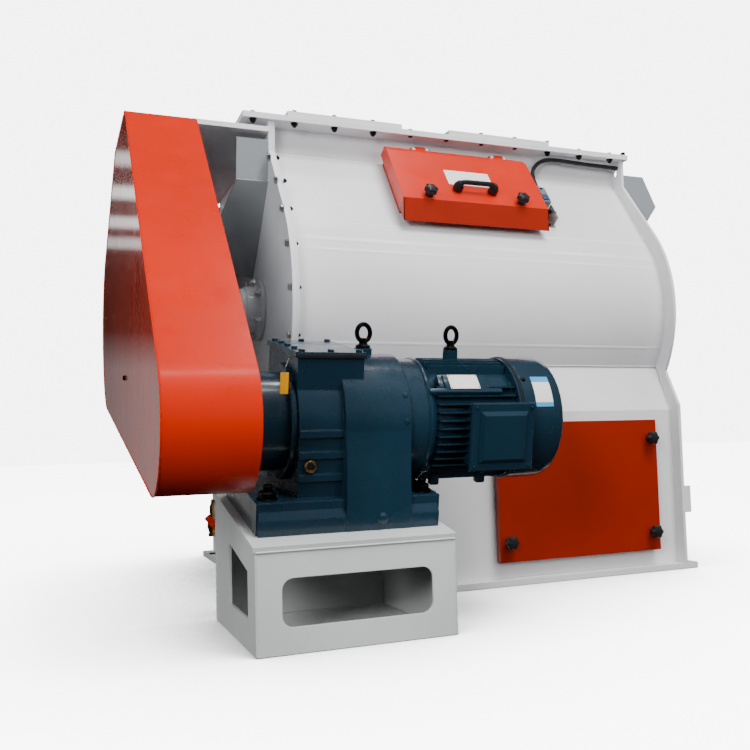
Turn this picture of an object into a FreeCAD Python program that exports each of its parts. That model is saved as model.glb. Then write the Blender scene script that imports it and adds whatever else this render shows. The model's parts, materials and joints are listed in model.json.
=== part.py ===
import FreeCAD, Part
import math
import os

# Double shaft paddle mixer, about 1 m3, with chain drive and bottom gates.
# Frame: origin on the floor at the centre of the base flange, X along the two
# shafts (chain drive at -X), Y across (motor at -Y), Z up. Millimetres.

V = FreeCAD.Vector
X_AXIS = V(1, 0, 0)
Y_AXIS = V(0, 1, 0)
Z_AXIS = V(0, 0, 1)
fit = 0.3                     # running and seating clearance

# Vessel
vessel_length = 1450.0        # over the outer faces of the end plates
end_plate = 12.0
rim_flange = 10.0             # second flange behind the left end plate
shell_radius = 405.0          # outside of the trough
shell_wall = 8.0
skirt_wall = 6.0
shaft_inset = 119.0           # shafts nearer to the middle than a shell radius
shaft_z = 965.0
rim_margin = 54.0             # end plates stand out past the shell
shell_neck = 400.0            # half width of the neck
neck_margin = 62.0
neck_rise = 220.0             # underside of the top flange above the shells' crests
rim_neck_drop = 105.0         # below the top flange
shell_neck_drop = 87.0
rim_waist_drop = 241.0        # below the shafts
rim_shoulder_drop = 371.0
shell_waist_drop = 223.0
skirt_drop = 388.0
wall_inset = 2.0              # upright rim edges inside the rim's widest line
skirt_inset = 42.0            # skirt panels inside those edges
half = vessel_length / 2
inside = half - end_plate
shell_inner = shell_radius - shell_wall
shaft_y = shell_radius - shaft_inset
rim_radius = shell_radius + rim_margin
rim_neck = shell_neck + neck_margin
top_z = shaft_z + shell_radius + neck_rise
rim_neck_z = top_z - rim_neck_drop
shell_neck_z = top_z - shell_neck_drop
rim_waist_z = shaft_z - rim_waist_drop
rim_shoulder_z = shaft_z - rim_shoulder_drop
shell_waist_z = shaft_z - shell_waist_drop
skirt_top_z = shaft_z - skirt_drop
rim_wall_y = shaft_y + rim_radius - wall_inset
skirt_y = rim_wall_y - skirt_inset

# Base and top
base_t = 20.0
base_x = half + 45.0
base_inner_x = half - 70.0
base_inner_y = rim_wall_y - 123.0
anchor_d = 22.0
anchor_y = base_inner_y - 20.0
top_t = 20.0
top_x0 = -half - 90.0
top_x1 = half + 10.0
top_y = rim_neck + 18.0
cover_t = 17.0
inlet_x0 = -half + 65.0
inlet_x1 = inlet_x0 + 420.0
inlet_margin = 50.0
inlet_hole_r = 7.0
inlet_hole_in = 60.0
hatch_x0, hatch_x1 = -54.0, 371.0
bridge_drop = 44.0             # guard bridge below the top flange
bridge_t = 17.0

# Discharge gates
gate_half_angle = 31.0
gate_wall = 10.0
gate_gap = 1.5
gate_end_gap = 2.0
hinge_radius = 18.0
hinge_offset = 26.0           # hinge axis outside the gate's outer face
crank_length = 140.0
crank_angle = 35.0            # inward from straight down, gates shut
crank_t = 20.0
gate_arm_t = 12.0
gate_arm_in = 153.0           # outer arms inside the end plates
crank_x = -half - 65.0        # outer face of the crank
cylinder_x = crank_x - 59.0
barrel_radius = 52.0
cap_half = 56.0
cap_length = 30.0
eye_half = 22.0
eye_t = 24.0
barrel_end = 40.0             # rear pin to barrel end
barrel_length = 430.0
rod_radius = 15.0
pin_radius = 12.0

# Rotors
stations = 7
paddle_end_gap = 13.0
station_pitch = 2 * (inside - paddle_end_gap) / stations
shaft_radius = 45.0
drum_radius = 58.0
saddle_size = 72.0             # welded foot of each arm
saddle_t = 16.0
arm_width = 56.0
arm_t = 14.0
paddle_width = 96.0
paddle_t = 10.0
paddle_gap = 9.0              # tips to the trough wall
paddle_reach = 120.0
paddle_tip = shell_inner - paddle_gap
paddle_root = paddle_tip - paddle_reach
arm_reach = paddle_tip - 38.0
paddle_angle = 45.0

# Bearings
bearing_flange_r = 110.0
bearing_flange_t = 16.0
bearing_body_r = 78.0
bearing_length = 78.0
shaft_gap = 1.0               # round the shafts in the end plates

# Chain drive
chain_x = -half - 365.0
chain_pitch = 50.8
roller_radius = 14.3
drive_teeth = 13
rotor_teeth = 23
idler_teeth = 15
sprocket_t = 28.0
idler_rise = 348.0            # idler above the shafts before the chain is made to close
idler_y = 76.0 - shaft_y
idler_radius = 25.0
shaft_end_x = chain_x - 42.0

# Guard
guard_x0 = chain_x - 109.0
guard_x1 = chain_x + 108.0
guard_wall = 3.0
guard_back_t = 6.0
guard_rise = 559.0            # flat top above the shafts
guard_top_ahead, guard_top_behind = 296.0, 115.0    # flat top's ends from the front shaft
guard_top_z = shaft_z + guard_rise
guard_top_y0 = -shaft_y - guard_top_ahead
guard_top_y1 = -shaft_y + guard_top_behind
guard_front_r = 172.0
guard_front_gap = 179.0       # centre of the front arc ahead of the motor axis
guard_rear_r = 322.0

# Motor stand, sloped top
stand_x0 = guard_x1 + 7.0
stand_x1 = stand_x0 + 510.0
stand_y1 = -rim_wall_y - 48.0
stand_y0 = stand_y1 - 520.0
stand_front_z = 254.0
stand_angle = 12.0
stand_wall = 8.0
stand_top_t = 14.0
window_x0, window_x1 = stand_x0 + 62.0, stand_x1 - 64.0
window_z0, window_z1 = 62.0, 176.0
window_r = 28.0
side_y0, side_y1 = stand_y0 + 89.0, stand_y0 + 326.0
side_z0, side_z1, side_z2 = 75.0, 188.0, 236.0

# Gear motor, in axes across the stand top (a), off it (b) and along X
gear_a = 268.0                # motor axis behind the stand's front edge
gear_b = 246.6                # motor axis above the stand top
foot_x0, foot_x1 = stand_x0 + 18.0, stand_x1 - 13.0
foot_half = 190.0
foot_t = 80.0
pad_l, foot_arch = 70.0, 22.0            # foot pads at each end, arch between them
case_x0 = stand_x0 + 125.0
case_x1 = case_x0 + 115.0
cover_x1 = case_x1 + 63.0
ring_x1 = case_x1 + 175.0
adapter_x1 = ring_x1 + 55.0
frame_x1 = adapter_x1 + 280.0
cowl_x1 = frame_x1 + 132.0
case_radius = 160.0
ring_radius = 178.0
adapter_radius = 165.0
case_top = 180.0
head_a0, head_a1, head_low = 126.0, 184.0, 60.0
rib_b = (-5.0, -58.0, -115.0)
frame_core_r = 146.0
frame_fin_r = 168.0
fin_pitch = 21.0
fin_t = 4.0
cowl_radius = 174.0
cowl_wall = 3.0
cowl_bevel = 30.0
cowl_mouth_r = 120.0
hub_radius = 128.0
boss_x = ring_x1 - 80.0       # lifting eye on the reducer
motor_eye_x = frame_x1 - 158.0
boss_h, eye_pad_h = 36.0, 56.0
output_radius = 40.0
motor_shaft_r = 20.0
fan_hub_r = 48.0
fan_blades = 6
fan_blade_l = 46.0
spigot = 12.0                 # motor end that carries the cowl
tbox_x0, tbox_x1 = frame_x1 - 171.0, frame_x1 + 7.0
tbox_b0, tbox_b1 = -104.0, 69.0
tbox_seat, tbox_face = cowl_radius + 1, 188.0
gear_cos, gear_sin = math.cos(math.radians(stand_angle)), math.sin(math.radians(stand_angle))
axis_y = stand_y0 + gear_a * gear_cos - gear_b * gear_sin
axis_z = stand_front_z + gear_a * gear_sin + gear_b * gear_cos

# Doors
door_x0, door_x1 = -305.0, 262.0
door_s0, door_s1 = 0.0, 290.0
door_face = 82.0              # outer face above the sloped shell
door_depth = 50.0
door_wall = 3.0
door_fold, door_fold_drop = 26.0, 9.0    # bent strip along the door's upper edge
hatch_cut = 45.0              # door overlap round its opening
frame_inset = 12.0
door_lip = 24.0               # return flange behind each door
low_door_w = 649.0
low_door_in = 98.0            # in from the right end plate
low_door_x1 = inside - low_door_in
low_door_x0 = low_door_x1 - low_door_w
low_door_z0, low_door_z1 = 76.0, 541.0
low_door_t = 26.0
low_frame_t = 8.0
knob_radius = 25.0
knob_height = 24.0
knob_lobes = 6
knob_stand = 12.0             # stud between door and knob head

os.makedirs("parts", exist_ok=True)


def box(x0, x1, y0, y1, z0, z1):
    return Part.makeBox(x1 - x0, y1 - y0, z1 - z0, V(x0, y0, z0))


def rod_x(x0, x1, y, z, r):
    return Part.makeCylinder(r, x1 - x0, V(x0, y, z), X_AXIS)


def rod_y(x, y0, y1, z, r):
    return Part.makeCylinder(r, y1 - y0, V(x, y0, z), Y_AXIS)


def rod_z(x, y, z0, z1, r):
    return Part.makeCylinder(r, z1 - z0, V(x, y, z0), Z_AXIS)


def prism(base, axis, length, radius, sides):
    # regular prism about the line from base along axis
    across = axis.cross(Z_AXIS if abs(axis.z) < 0.9 else X_AXIS)
    across.normalize()
    other = axis.cross(across)
    ring = []
    for k in range(sides):
        a = 2 * math.pi * k / sides
        ring.append(base + (across * math.cos(a) + other * math.sin(a)) * radius)
    return Part.Face(Part.Wire(Part.makePolygon(ring + ring[:1]))).extrude(axis * length)


def fuse(shapes):
    whole = shapes[0] if len(shapes) == 1 else shapes[0].fuse(shapes[1:])
    return whole.removeSplitter()


def flipped(shape):
    return shape.mirror(V(0, 0, 0), Y_AXIS)


def both_sides(shape):
    return [shape, flipped(shape)]


def save(node, shapes):
    shapes = shapes if isinstance(shapes, list) else [shapes]
    solids = [s for shape in shapes for s in shape.Solids]
    whole = solids[0] if len(solids) == 1 else Part.makeCompound(solids)
    whole.exportStep("parts/" + node + ".step")
    print(node, len(solids))


def line_yz(p, q):
    return Part.makeLine(V(0, p[0], p[1]), V(0, q[0], q[1]))


def arc_yz(p, middle, q):
    return Part.Arc(V(0, *p), V(0, *middle), V(0, *q)).toShape()


def polygon_yz(points):
    ring = [V(0, y, z) for y, z in points]
    return Part.Wire(Part.makePolygon(ring + ring[:1]))


def slab(wire, x0, x1):
    face = Part.Face(wire)
    solid = face.extrude(V(x1 - x0, 0, 0))
    solid.translate(V(x0, 0, 0))
    return solid


def on_circle(cy, cz, r, degrees):
    a = math.radians(degrees)
    return (cy + r * math.cos(a), cz + r * math.sin(a))


def tangent_point(point, centre, r, side):
    dy, dz = centre[0] - point[0], centre[1] - point[1]
    distance = math.hypot(dy, dz)
    angle = math.atan2(dz, dy) + side * math.asin(r / distance)
    run = math.sqrt(distance ** 2 - r ** 2)
    return (point[0] + run * math.cos(angle), point[1] + run * math.sin(angle))


def angle_at(centre, point):
    return math.degrees(math.atan2(point[1] - centre[1], point[0] - centre[0]))


front = (-shaft_y, shaft_z)


def circle_y(r, z):
    # front side of the circle about the front shaft at height z
    return -shaft_y - math.sqrt(r ** 2 - (z - shaft_z) ** 2)


# Half outline from the top edge down to the base, on the front side
def rim_edges(low_z):
    neck = (-rim_neck, rim_neck_z)
    touch = tangent_point(neck, front, rim_radius, -1)
    waist = (circle_y(rim_radius, rim_waist_z), rim_waist_z)
    middle = on_circle(*front, rim_radius, 180)
    shoulder = (-rim_wall_y, rim_shoulder_z)
    foot = (-rim_wall_y, low_z)
    return [line_yz((-rim_neck, top_z), neck), line_yz(neck, touch), arc_yz(touch, middle, waist),
            line_yz(waist, shoulder), line_yz(shoulder, foot)]


def closed_outline(edges, low_z):
    mirrored = [flipped(e) for e in edges]
    caps = [line_yz((-rim_neck, top_z), (rim_neck, top_z)), line_yz((-rim_wall_y, low_z), (rim_wall_y, low_z))]
    return Part.Wire(Part.__sortEdges__(edges + mirrored + caps))


def shell_slope(r):
    # neck corner and tangent point of the trough at radius r about the front shaft
    neck = (-shell_neck + (shell_radius - r), shell_neck_z)
    return neck, tangent_point(neck, front, r, -1)


gate_edge = -90.0 - gate_half_angle
gap_angle = math.degrees(gate_gap / shell_inner)


def trough_wire():
    neck_o, touch_o = shell_slope(shell_radius)
    neck_i, touch_i = shell_slope(shell_inner)
    end = gate_edge - gap_angle
    edges = [line_yz((neck_o[0], top_z), neck_o), line_yz(neck_o, touch_o),
             arc_yz(touch_o, on_circle(*front, shell_radius, 180), on_circle(*front, shell_radius, end)),
             line_yz(on_circle(*front, shell_radius, end), on_circle(*front, shell_inner, end)),
             arc_yz(on_circle(*front, shell_inner, end), on_circle(*front, shell_inner, 180), touch_i),
             line_yz(touch_i, neck_i), line_yz(neck_i, (neck_i[0], top_z)),
             line_yz((neck_i[0], top_z), (neck_o[0], top_z))]
    return Part.Wire(edges)


# Upper door frame of reference: s runs down the slope, d stands off the shell
neck_point, touch_point = shell_slope(shell_radius)
slope_len = math.hypot(touch_point[0] - neck_point[0], touch_point[1] - neck_point[1])
down = V(0, (touch_point[0] - neck_point[0]) / slope_len, (touch_point[1] - neck_point[1]) / slope_len)
off = V(0, down.z, -down.y)


def slope_point(x, s, d):
    return V(x, neck_point[0], neck_point[1]) + down * s + off * d


def slope_box(x0, x1, s0, s1, d0, d1):
    corners = [slope_point(x0, s0, d0), slope_point(x0, s1, d0), slope_point(x0, s1, d1), slope_point(x0, s0, d1)]
    face = Part.Face(Part.Wire(Part.makePolygon(corners + corners[:1])))
    return face.extrude(V(x1 - x0, 0, 0))


def slope_rod(x, s, d0, d1, r):
    return Part.makeCylinder(r, d1 - d0, slope_point(x, s, d0), off)


# End plates
def shaft_holes(x0, x1, r):
    return [rod_x(x0, x1, side * shaft_y, shaft_z, r) for side in (-1, 1)]


hinge_r_from_shaft = shell_inner + gate_wall + hinge_offset
hinge_y, hinge_z = on_circle(*front, hinge_r_from_shaft, gate_edge)


def hinge_holes(x0, x1, r):
    return [rod_x(x0, x1, side * hinge_y, hinge_z, r) for side in (-1, 1)]


lift_y, lift_z, lift_r = shell_neck + 16, top_z - 40, 15.0
lug_t, lug_reach, lug_z0, lug_z1 = 12.0, 27.0, 201.0, 297.0


def end_plate_solid(x0):
    outline = closed_outline(rim_edges(base_t), base_t)
    plate = slab(outline, x0, x0 + end_plate)
    holes = shaft_holes(x0 - 1, x0 + end_plate + 1, shaft_radius + shaft_gap)
    holes += hinge_holes(x0 - 1, x0 + end_plate + 1, hinge_radius + fit)
    return plate.cut(holes)


lug = box(half - 1, half + lug_reach, -rim_wall_y, -rim_wall_y + lug_t, lug_z0, lug_z1)
lift_holes = [rod_x(inside - 1, half + 1, side * lift_y, lift_z, lift_r) for side in (-1, 1)]
save("end_plate_left", end_plate_solid(-half))
save("end_plate_right", fuse([end_plate_solid(inside), lug]).cut(lift_holes))

# Trough shells, ridge and the second rim flange
front_trough = slab(trough_wire(), -inside, inside)
opening = slope_box(door_x0 + hatch_cut, door_x1 - hatch_cut, door_s0 + hatch_cut, door_s1 - hatch_cut, -40, 40)
front_shell = front_trough.cut(opening)
rear_shell = flipped(front_trough)


def rim_ring():
    outer = slab(closed_outline(rim_edges(base_t), base_t), -inside, -inside + rim_flange)
    core_edges = trough_wire()
    solid_core = slab(core_edges, -inside - 1, -inside + rim_flange + 1)
    inner = box(-inside - 1, -inside + rim_flange + 1, -shell_neck, shell_neck, shaft_z, top_z + 1)
    disc = rod_x(-inside - 1, -inside + rim_flange + 1, front[0], shaft_z, shell_radius)
    wedge_points = [(0, shell_neck_z), neck_point, touch_point, (0, shaft_z)]
    wedge = slab(polygon_yz(wedge_points), -inside - 1, -inside + rim_flange + 1)
    low = box(-inside - 1, -inside + rim_flange + 1, -rim_wall_y - 1, rim_wall_y + 1, base_t - 1, shell_waist_z)
    hollow = [inner, disc, wedge, flipped(disc), flipped(wedge), low, solid_core, flipped(solid_core)]
    return outer.cut(hollow)


save("rim_flange_left", rim_ring())
save("trough_shell_front", front_shell)
save("trough_shell_rear", rear_shell)


def ridge_solid():
    start = -90.0 + gate_half_angle + gap_angle
    r_o = shell_inner + gate_wall
    cusp_i = (0, shaft_z - math.sqrt(shell_inner ** 2 - shaft_y ** 2))
    cusp_o = (0, shaft_z - math.sqrt(r_o ** 2 - shaft_y ** 2))
    top_angle = angle_at(front, cusp_i)
    low_angle = angle_at(front, cusp_o)
    a, b = on_circle(*front, shell_inner, start), on_circle(*front, r_o, start)
    top_arc = arc_yz(a, on_circle(*front, shell_inner, (start + top_angle) / 2), cusp_i)
    low_arc = arc_yz(b, on_circle(*front, r_o, (start + low_angle) / 2), cusp_o)
    edges = [top_arc, flipped(top_arc), line_yz(a, b), flipped(line_yz(a, b)), low_arc, flipped(low_arc)]
    return slab(Part.Wire(Part.__sortEdges__(edges)), -inside, inside)


save("trough_ridge", ridge_solid())


# Skirt panels below the trough
def skirt_panel():
    top = (circle_y(shell_radius, shell_waist_z), shell_waist_z)
    inner_top = (circle_y(shell_radius, shell_waist_z - skirt_wall * 2), shell_waist_z - skirt_wall * 2)
    points = [top, (-skirt_y, skirt_top_z), (-skirt_y, base_t), (-skirt_y + skirt_wall, base_t),
              (-skirt_y + skirt_wall, skirt_top_z - 2), inner_top]
    panel = slab(polygon_yz(points), -inside, inside)
    return panel.cut(rod_x(-inside - 1, inside + 1, front[0], shaft_z, shell_radius))


low_opening = box(low_door_x0 + hatch_cut, low_door_x1 - hatch_cut, -skirt_y - 1, -skirt_y + skirt_wall + 1,
                  low_door_z0 + hatch_cut, low_door_z1 - hatch_cut)
save("skirt_front", skirt_panel().cut(low_opening))
save("skirt_rear", flipped(skirt_panel()))


# Base flange with the discharge opening and anchor holes
def base_flange():
    plate = box(-base_x, base_x, -rim_wall_y, rim_wall_y, 0, base_t)
    plate = plate.cut(box(-base_inner_x, base_inner_x, -base_inner_y, base_inner_y, -1, base_t + 1))
    holes = [rod_z(sx * anchor_x, sy * anchor_y, -1, base_t + 1, anchor_d / 2)
             for sx in (-1, 1) for sy in (-1, 1)]
    return plate.cut(holes)


anchor_x = (base_x + half) / 2
save("base_flange", base_flange())


# Top flange with feed inlet and inspection hatch
def flat_ring(x0, x1, y_half, margin, z0, z1):
    outer = box(x0, x1, -y_half, y_half, z0, z1)
    return outer.cut(box(x0 + margin, x1 - margin, -y_half + margin * 2, y_half - margin * 2, z0 - 1, z1 + 1))


inlet_y = top_y - 2
top_plate = box(top_x0, top_x1, -top_y, top_y, top_z, top_z + top_t)
inlet_hole = box(inlet_x0 + inlet_margin, inlet_x1 - inlet_margin, -inlet_y + 2 * inlet_margin,
                 inlet_y - 2 * inlet_margin, top_z - 1, top_z + top_t + 1)
hatch_hole = box(hatch_x0 + inlet_margin, hatch_x1 - inlet_margin, -inlet_y + 2 * inlet_margin,
                 inlet_y - 2 * inlet_margin, top_z - 1, top_z + top_t + 1)
save("top_flange", top_plate.cut([inlet_hole, hatch_hole]))
cover_z = top_z + top_t
inlet = flat_ring(inlet_x0, inlet_x1, inlet_y, inlet_margin, cover_z, cover_z + cover_t)
inlet_holes = [rod_z(x, side * (inlet_y - inlet_margin), cover_z - 1, cover_z + cover_t + 1, inlet_hole_r)
               for x in (inlet_x0 + inlet_hole_in, inlet_x1 - inlet_hole_in) for side in (-1, 1)]
save("feed_inlet_flange", inlet.cut(inlet_holes))
save("inspection_cover", box(hatch_x0, hatch_x1, -inlet_y, inlet_y, cover_z, cover_z + cover_t))

# Gussets on the end plates
gusset_t = 10.0
gusset_top = (-shaft_y - 157, shaft_z + 423)
gusset_low = (-shaft_y + 108, shaft_z + 137)
left_gusset_x = (108, 153, 185)          # reach at the top, knee and foot
right_gusset = ((0, 400), (0, 50), (108, 50), (168, 170))    # reach and depth below the top flange


def left_gusset():
    run = math.hypot(gusset_low[0] - gusset_top[0], gusset_low[1] - gusset_top[1])
    along = V(0, (gusset_low[0] - gusset_top[0]) / run, (gusset_low[1] - gusset_top[1]) / run)
    across = V(0, along.z, -along.y)
    start = V(-half, *gusset_top)
    reach, knee, foot = left_gusset_x
    corners = [start, start + V(-reach, 0, 0), start + V(-knee, 0, 0) + along * run * 0.48,
               start + V(-foot, 0, 0) + along * run * 0.9, start + along * run]
    face = Part.Face(Part.Wire(Part.makePolygon(corners + corners[:1])))
    return face.extrude(across * gusset_t)


def right_gusset_plate():
    ring = [V(half + x, -rim_neck + 20, top_z - z) for x, z in right_gusset]
    face = Part.Face(Part.Wire(Part.makePolygon(ring + ring[:1])))
    return face.extrude(V(0, gusset_t, 0))


save("gussets", both_sides(left_gusset()) + both_sides(right_gusset_plate()))


# Flanged bearings, four alike
def bearing(y, out):
    x = out * half
    parts = [Part.makeCylinder(bearing_flange_r, bearing_flange_t, V(x, y, shaft_z), V(out, 0, 0)),
             Part.makeCylinder(bearing_body_r, bearing_length, V(x, y, shaft_z), V(out, 0, 0))]
    bore = rod_x(x - bearing_length - 1, x + bearing_length + 1, y, shaft_z, shaft_radius + fit)
    return fuse(parts).cut(bore)


save("bearings", [bearing(side * shaft_y, out) for side in (-1, 1) for out in (-1, 1)])


# Rotors
def rotor_shaft(y):
    tail_x = half + bearing_length + 12
    drum_end = inside - fit
    drum = rod_x(-drum_end, drum_end, y, shaft_z, drum_radius)
    return fuse([rod_x(shaft_end_x, tail_x, y, shaft_z, shaft_radius), drum])


def radial_bar(x, y, angle, twist, r0, r1, width, thick, lift):
    # flat bar along the radius at this angle, turned about its own length
    bar = Part.makeBox(width, thick, r1 - r0, V(-width / 2, lift - thick / 2, r0))
    bar.rotate(V(0, 0, 0), Z_AXIS, twist)
    bar.rotate(V(0, 0, 0), X_AXIS, angle)
    bar.translate(V(x, y, shaft_z))
    return bar


def rotor(y, hand):
    arms, paddles = [], []
    for k in range(stations):
        x = (k - (stations - 1) / 2) * station_pitch + hand * station_pitch / 4
        turn = 90 * (k % 2) + (0 if hand < 0 else 45)
        twist = hand * paddle_angle * (-1 if k % 2 else 1)
        tip_disc = rod_x(x - paddle_width, x + paddle_width, y, shaft_z, paddle_tip)
        drum = rod_x(x - paddle_width, x + paddle_width, y, shaft_z, drum_radius)
        for angle in (turn, turn + 180):
            bar = radial_bar(x, y, angle, twist, drum_radius - 4, arm_reach, arm_width, arm_t, 0)
            saddle = radial_bar(x, y, angle, twist, drum_radius - 16, drum_radius + saddle_t, saddle_size,
                                saddle_size / 2, 0)
            arms.append(fuse([bar, saddle]).cut(drum))
            lift = (arm_t + paddle_t) / 2
            blade = radial_bar(x, y, angle, twist, paddle_root, paddle_tip + 20, paddle_width, paddle_t, lift)
            paddles.append(blade.common(tip_disc))
    return arms, paddles


for name, side in (("front", -1), ("rear", 1)):
    save("rotor_shaft_" + name, rotor_shaft(side * shaft_y))
    arm_solids, paddle_solids = rotor(side * shaft_y, side)
    save("paddle_arms_" + name, arm_solids)
    save("paddles_" + name, paddle_solids)


# Discharge gates with hinge shaft and crank, one assembly each
def sector(r0, r1, a0, a1, x0, x1):
    mid = (a0 + a1) / 2
    edges = [arc_yz(on_circle(*front, r0, a0), on_circle(*front, r0, mid), on_circle(*front, r0, a1)),
             line_yz(on_circle(*front, r0, a1), on_circle(*front, r1, a1)),
             arc_yz(on_circle(*front, r1, a1), on_circle(*front, r1, mid), on_circle(*front, r1, a0)),
             line_yz(on_circle(*front, r1, a0), on_circle(*front, r0, a0))]
    return slab(Part.Wire(edges), x0, x1)


crank_tip = (hinge_y + crank_length * math.sin(math.radians(crank_angle)),
             hinge_z - crank_length * math.cos(math.radians(crank_angle)))


def gate():
    gate_x = inside - gate_end_gap
    r_o = shell_inner + gate_wall
    leaf = sector(shell_inner, r_o, gate_edge, -90 + gate_half_angle, -gate_x, gate_x)
    shaft = rod_x(crank_x, half + 22, hinge_y, hinge_z, hinge_radius)
    pieces = [leaf, shaft]
    arm_x = inside - gate_arm_in
    for x in (-arm_x, -arm_x / 3, arm_x / 3, arm_x):
        near = on_circle(*front, r_o - 1, gate_edge + 1)
        far = on_circle(*front, r_o - 1, -90)
        below = on_circle(*front, r_o + 30, -90 - gate_half_angle / 2)
        arm = slab(polygon_yz([near, (hinge_y, hinge_z + hinge_radius / 2), (hinge_y, hinge_z - hinge_radius / 2),
                               below, far]), x, x + gate_arm_t)
        pieces.append(arm.cut(rod_x(x - 1, x + gate_arm_t + 1, front[0], shaft_z, r_o - 1)))
    return fuse(pieces + crank())


def crank():
    # tapered plate from the gate shaft to the cylinder pin
    dy, dz = (crank_tip[0] - hinge_y) / crank_length, (crank_tip[1] - hinge_z) / crank_length
    outline = [(-32, 12), (-12, 32), (crank_length + 10, 26), (crank_length + 26, 10)]
    outline += [(u, -v) for u, v in reversed(outline)]
    points = [(hinge_y + dy * u - dz * v, hinge_z + dz * u + dy * v) for u, v in outline]
    plate = slab(polygon_yz(points), crank_x, crank_x + crank_t)
    return [plate, rod_x(cylinder_x - eye_t / 2 - 8, crank_x, crank_tip[0], crank_tip[1], pin_radius)]


front_gate = gate()
save("gate_front", front_gate)
save("gate_rear", flipped(front_gate))

# Air cylinder between the crank tips: barrel on the rear crank, rod on the front one
tip_y, tip_z = -crank_tip[0], crank_tip[1]
barrel_y1 = tip_y - barrel_end
barrel_y0 = barrel_y1 - barrel_length


def end_cap(y):
    return box(cylinder_x - cap_half, cylinder_x + cap_half, y, y + cap_length, tip_z - cap_half, tip_z + cap_half)


def rod_eye(y, reach):
    # square eye round the crank pin, reaching along Y towards the cylinder
    low, high = min(y - eye_half, y + reach), max(y + eye_half, y + reach)
    eye = box(cylinder_x - eye_t / 2, cylinder_x + eye_t / 2, low, high, tip_z - eye_half, tip_z + eye_half)
    return eye.cut(rod_x(cylinder_x - eye_t, cylinder_x + eye_t, y, tip_z, pin_radius + fit))


def barrel():
    body = rod_y(cylinder_x, barrel_y0, barrel_y1, tip_z, barrel_radius)
    bore = rod_y(cylinder_x, barrel_y0 - 1, barrel_y1 - cap_length, tip_z, rod_radius + fit)
    whole = fuse([body, end_cap(barrel_y0), end_cap(barrel_y1 - cap_length), rod_eye(tip_y, -barrel_end - 1)])
    return whole.cut(bore)


def piston_rod():
    stem = rod_y(cylinder_x, -tip_y + eye_half - 1, barrel_y1 - cap_length - 5, tip_z, rod_radius)
    return fuse([stem, rod_eye(-tip_y, eye_half)])


save("gate_cylinder_barrel", barrel())
save("gate_cylinder_rod", piston_rod())


# Guard outline: flat top, two slopes, a small front arc and a large rear arc
def guard_wire(inset):
    gf = (axis_y - guard_front_gap, axis_z)
    gr = (shaft_y, shaft_z)
    rf, rr = guard_front_r, guard_rear_r
    t0, t1 = (guard_top_y0, guard_top_z), (guard_top_y1, guard_top_z)
    a = tangent_point(t0, gf, rf, -1)
    b = tangent_point(t1, gr, rr, 1)
    dy, dz = gr[0] - gf[0], gr[1] - gf[1]
    lean = math.degrees(math.atan2(dz, dy) - math.asin((rr - rf) / math.hypot(dy, dz))) - 90
    c = on_circle(*gf, rf, lean)
    d = on_circle(*gr, rr, lean)
    front_mid = (angle_at(gf, a) + lean) / 2 if angle_at(gf, a) < lean else (angle_at(gf, a) - 360 + lean) / 2
    rear_mid = (angle_at(gr, b) + lean) / 2
    edges = [line_yz(t1, t0), line_yz(t0, a), arc_yz(a, on_circle(*gf, rf, front_mid), c), line_yz(c, d),
             arc_yz(d, on_circle(*gr, rr, rear_mid), b), line_yz(b, t1)]
    wire = Part.Wire(edges)
    return wire.makeOffset2D(-inset) if inset else wire


def face_slab(wire, x0, x1):
    solid = Part.Face(wire).extrude(V(x1 - x0, 0, 0))
    solid.translate(V(x0, 0, 0))
    return solid


guard_pan = face_slab(guard_wire(0), guard_x0, guard_x1)
guard_pan = guard_pan.cut(face_slab(guard_wire(guard_wall), guard_x0 + guard_wall, guard_x1 + 1))
save("chain_guard", guard_pan)

back = face_slab(guard_wire(guard_wall + fit), guard_x1 - guard_back_t, guard_x1)
back_holes = [rod_x(guard_x1 - 30, guard_x1 + 30, y, z, r)
              for y, z, r in ((-shaft_y, shaft_z, shaft_radius + 15), (shaft_y, shaft_z, shaft_radius + 15),
                              (axis_y, axis_z, output_radius + 15))]
save("guard_back_plate", back.cut(back_holes))
stay_half = 25.0
high_stay, low_stay, rear_stay, rear_stay_rise = 365.0, 205.0, 234.0, 95.0    # from the shafts
stay_points = ((0.0, shaft_z + high_stay), (0.0, shaft_z - low_stay),
               (shaft_y + rear_stay, shaft_z + rear_stay_rise))
stays = [box(guard_x1, -half, y - stay_half, y + stay_half, z - stay_half, z + stay_half) for y, z in stay_points]
bridge_z = top_z - bridge_drop
bridge = box(guard_x1, -half, -top_y, top_y, bridge_z, bridge_z + bridge_t)
save("guard_bridge_and_stays", [bridge] + stays)


# Sprockets and the chain that runs round them
def pitch_radius(teeth):
    return chain_pitch / 2 / math.sin(math.pi / teeth)


def common_tangent(c0, r0, c1, r1, side0, side1):
    # points where a straight strand leaves wheel 0 and meets wheel 1; a side of
    # 1 keeps the wheel on the strand's left, -1 on its right
    dy, dz = c1[0] - c0[0], c1[1] - c0[1]
    distance = math.hypot(dy, dz)
    base = math.atan2(dz, dy)
    turn = math.asin((side0 * r0 - side1 * r1) / distance)
    heading = base + turn
    ny, nz = -math.sin(heading), math.cos(heading)
    return ((c0[0] - side0 * r0 * ny, c0[1] - side0 * r0 * nz), (c1[0] - side1 * r1 * ny, c1[1] - side1 * r1 * nz))


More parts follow.
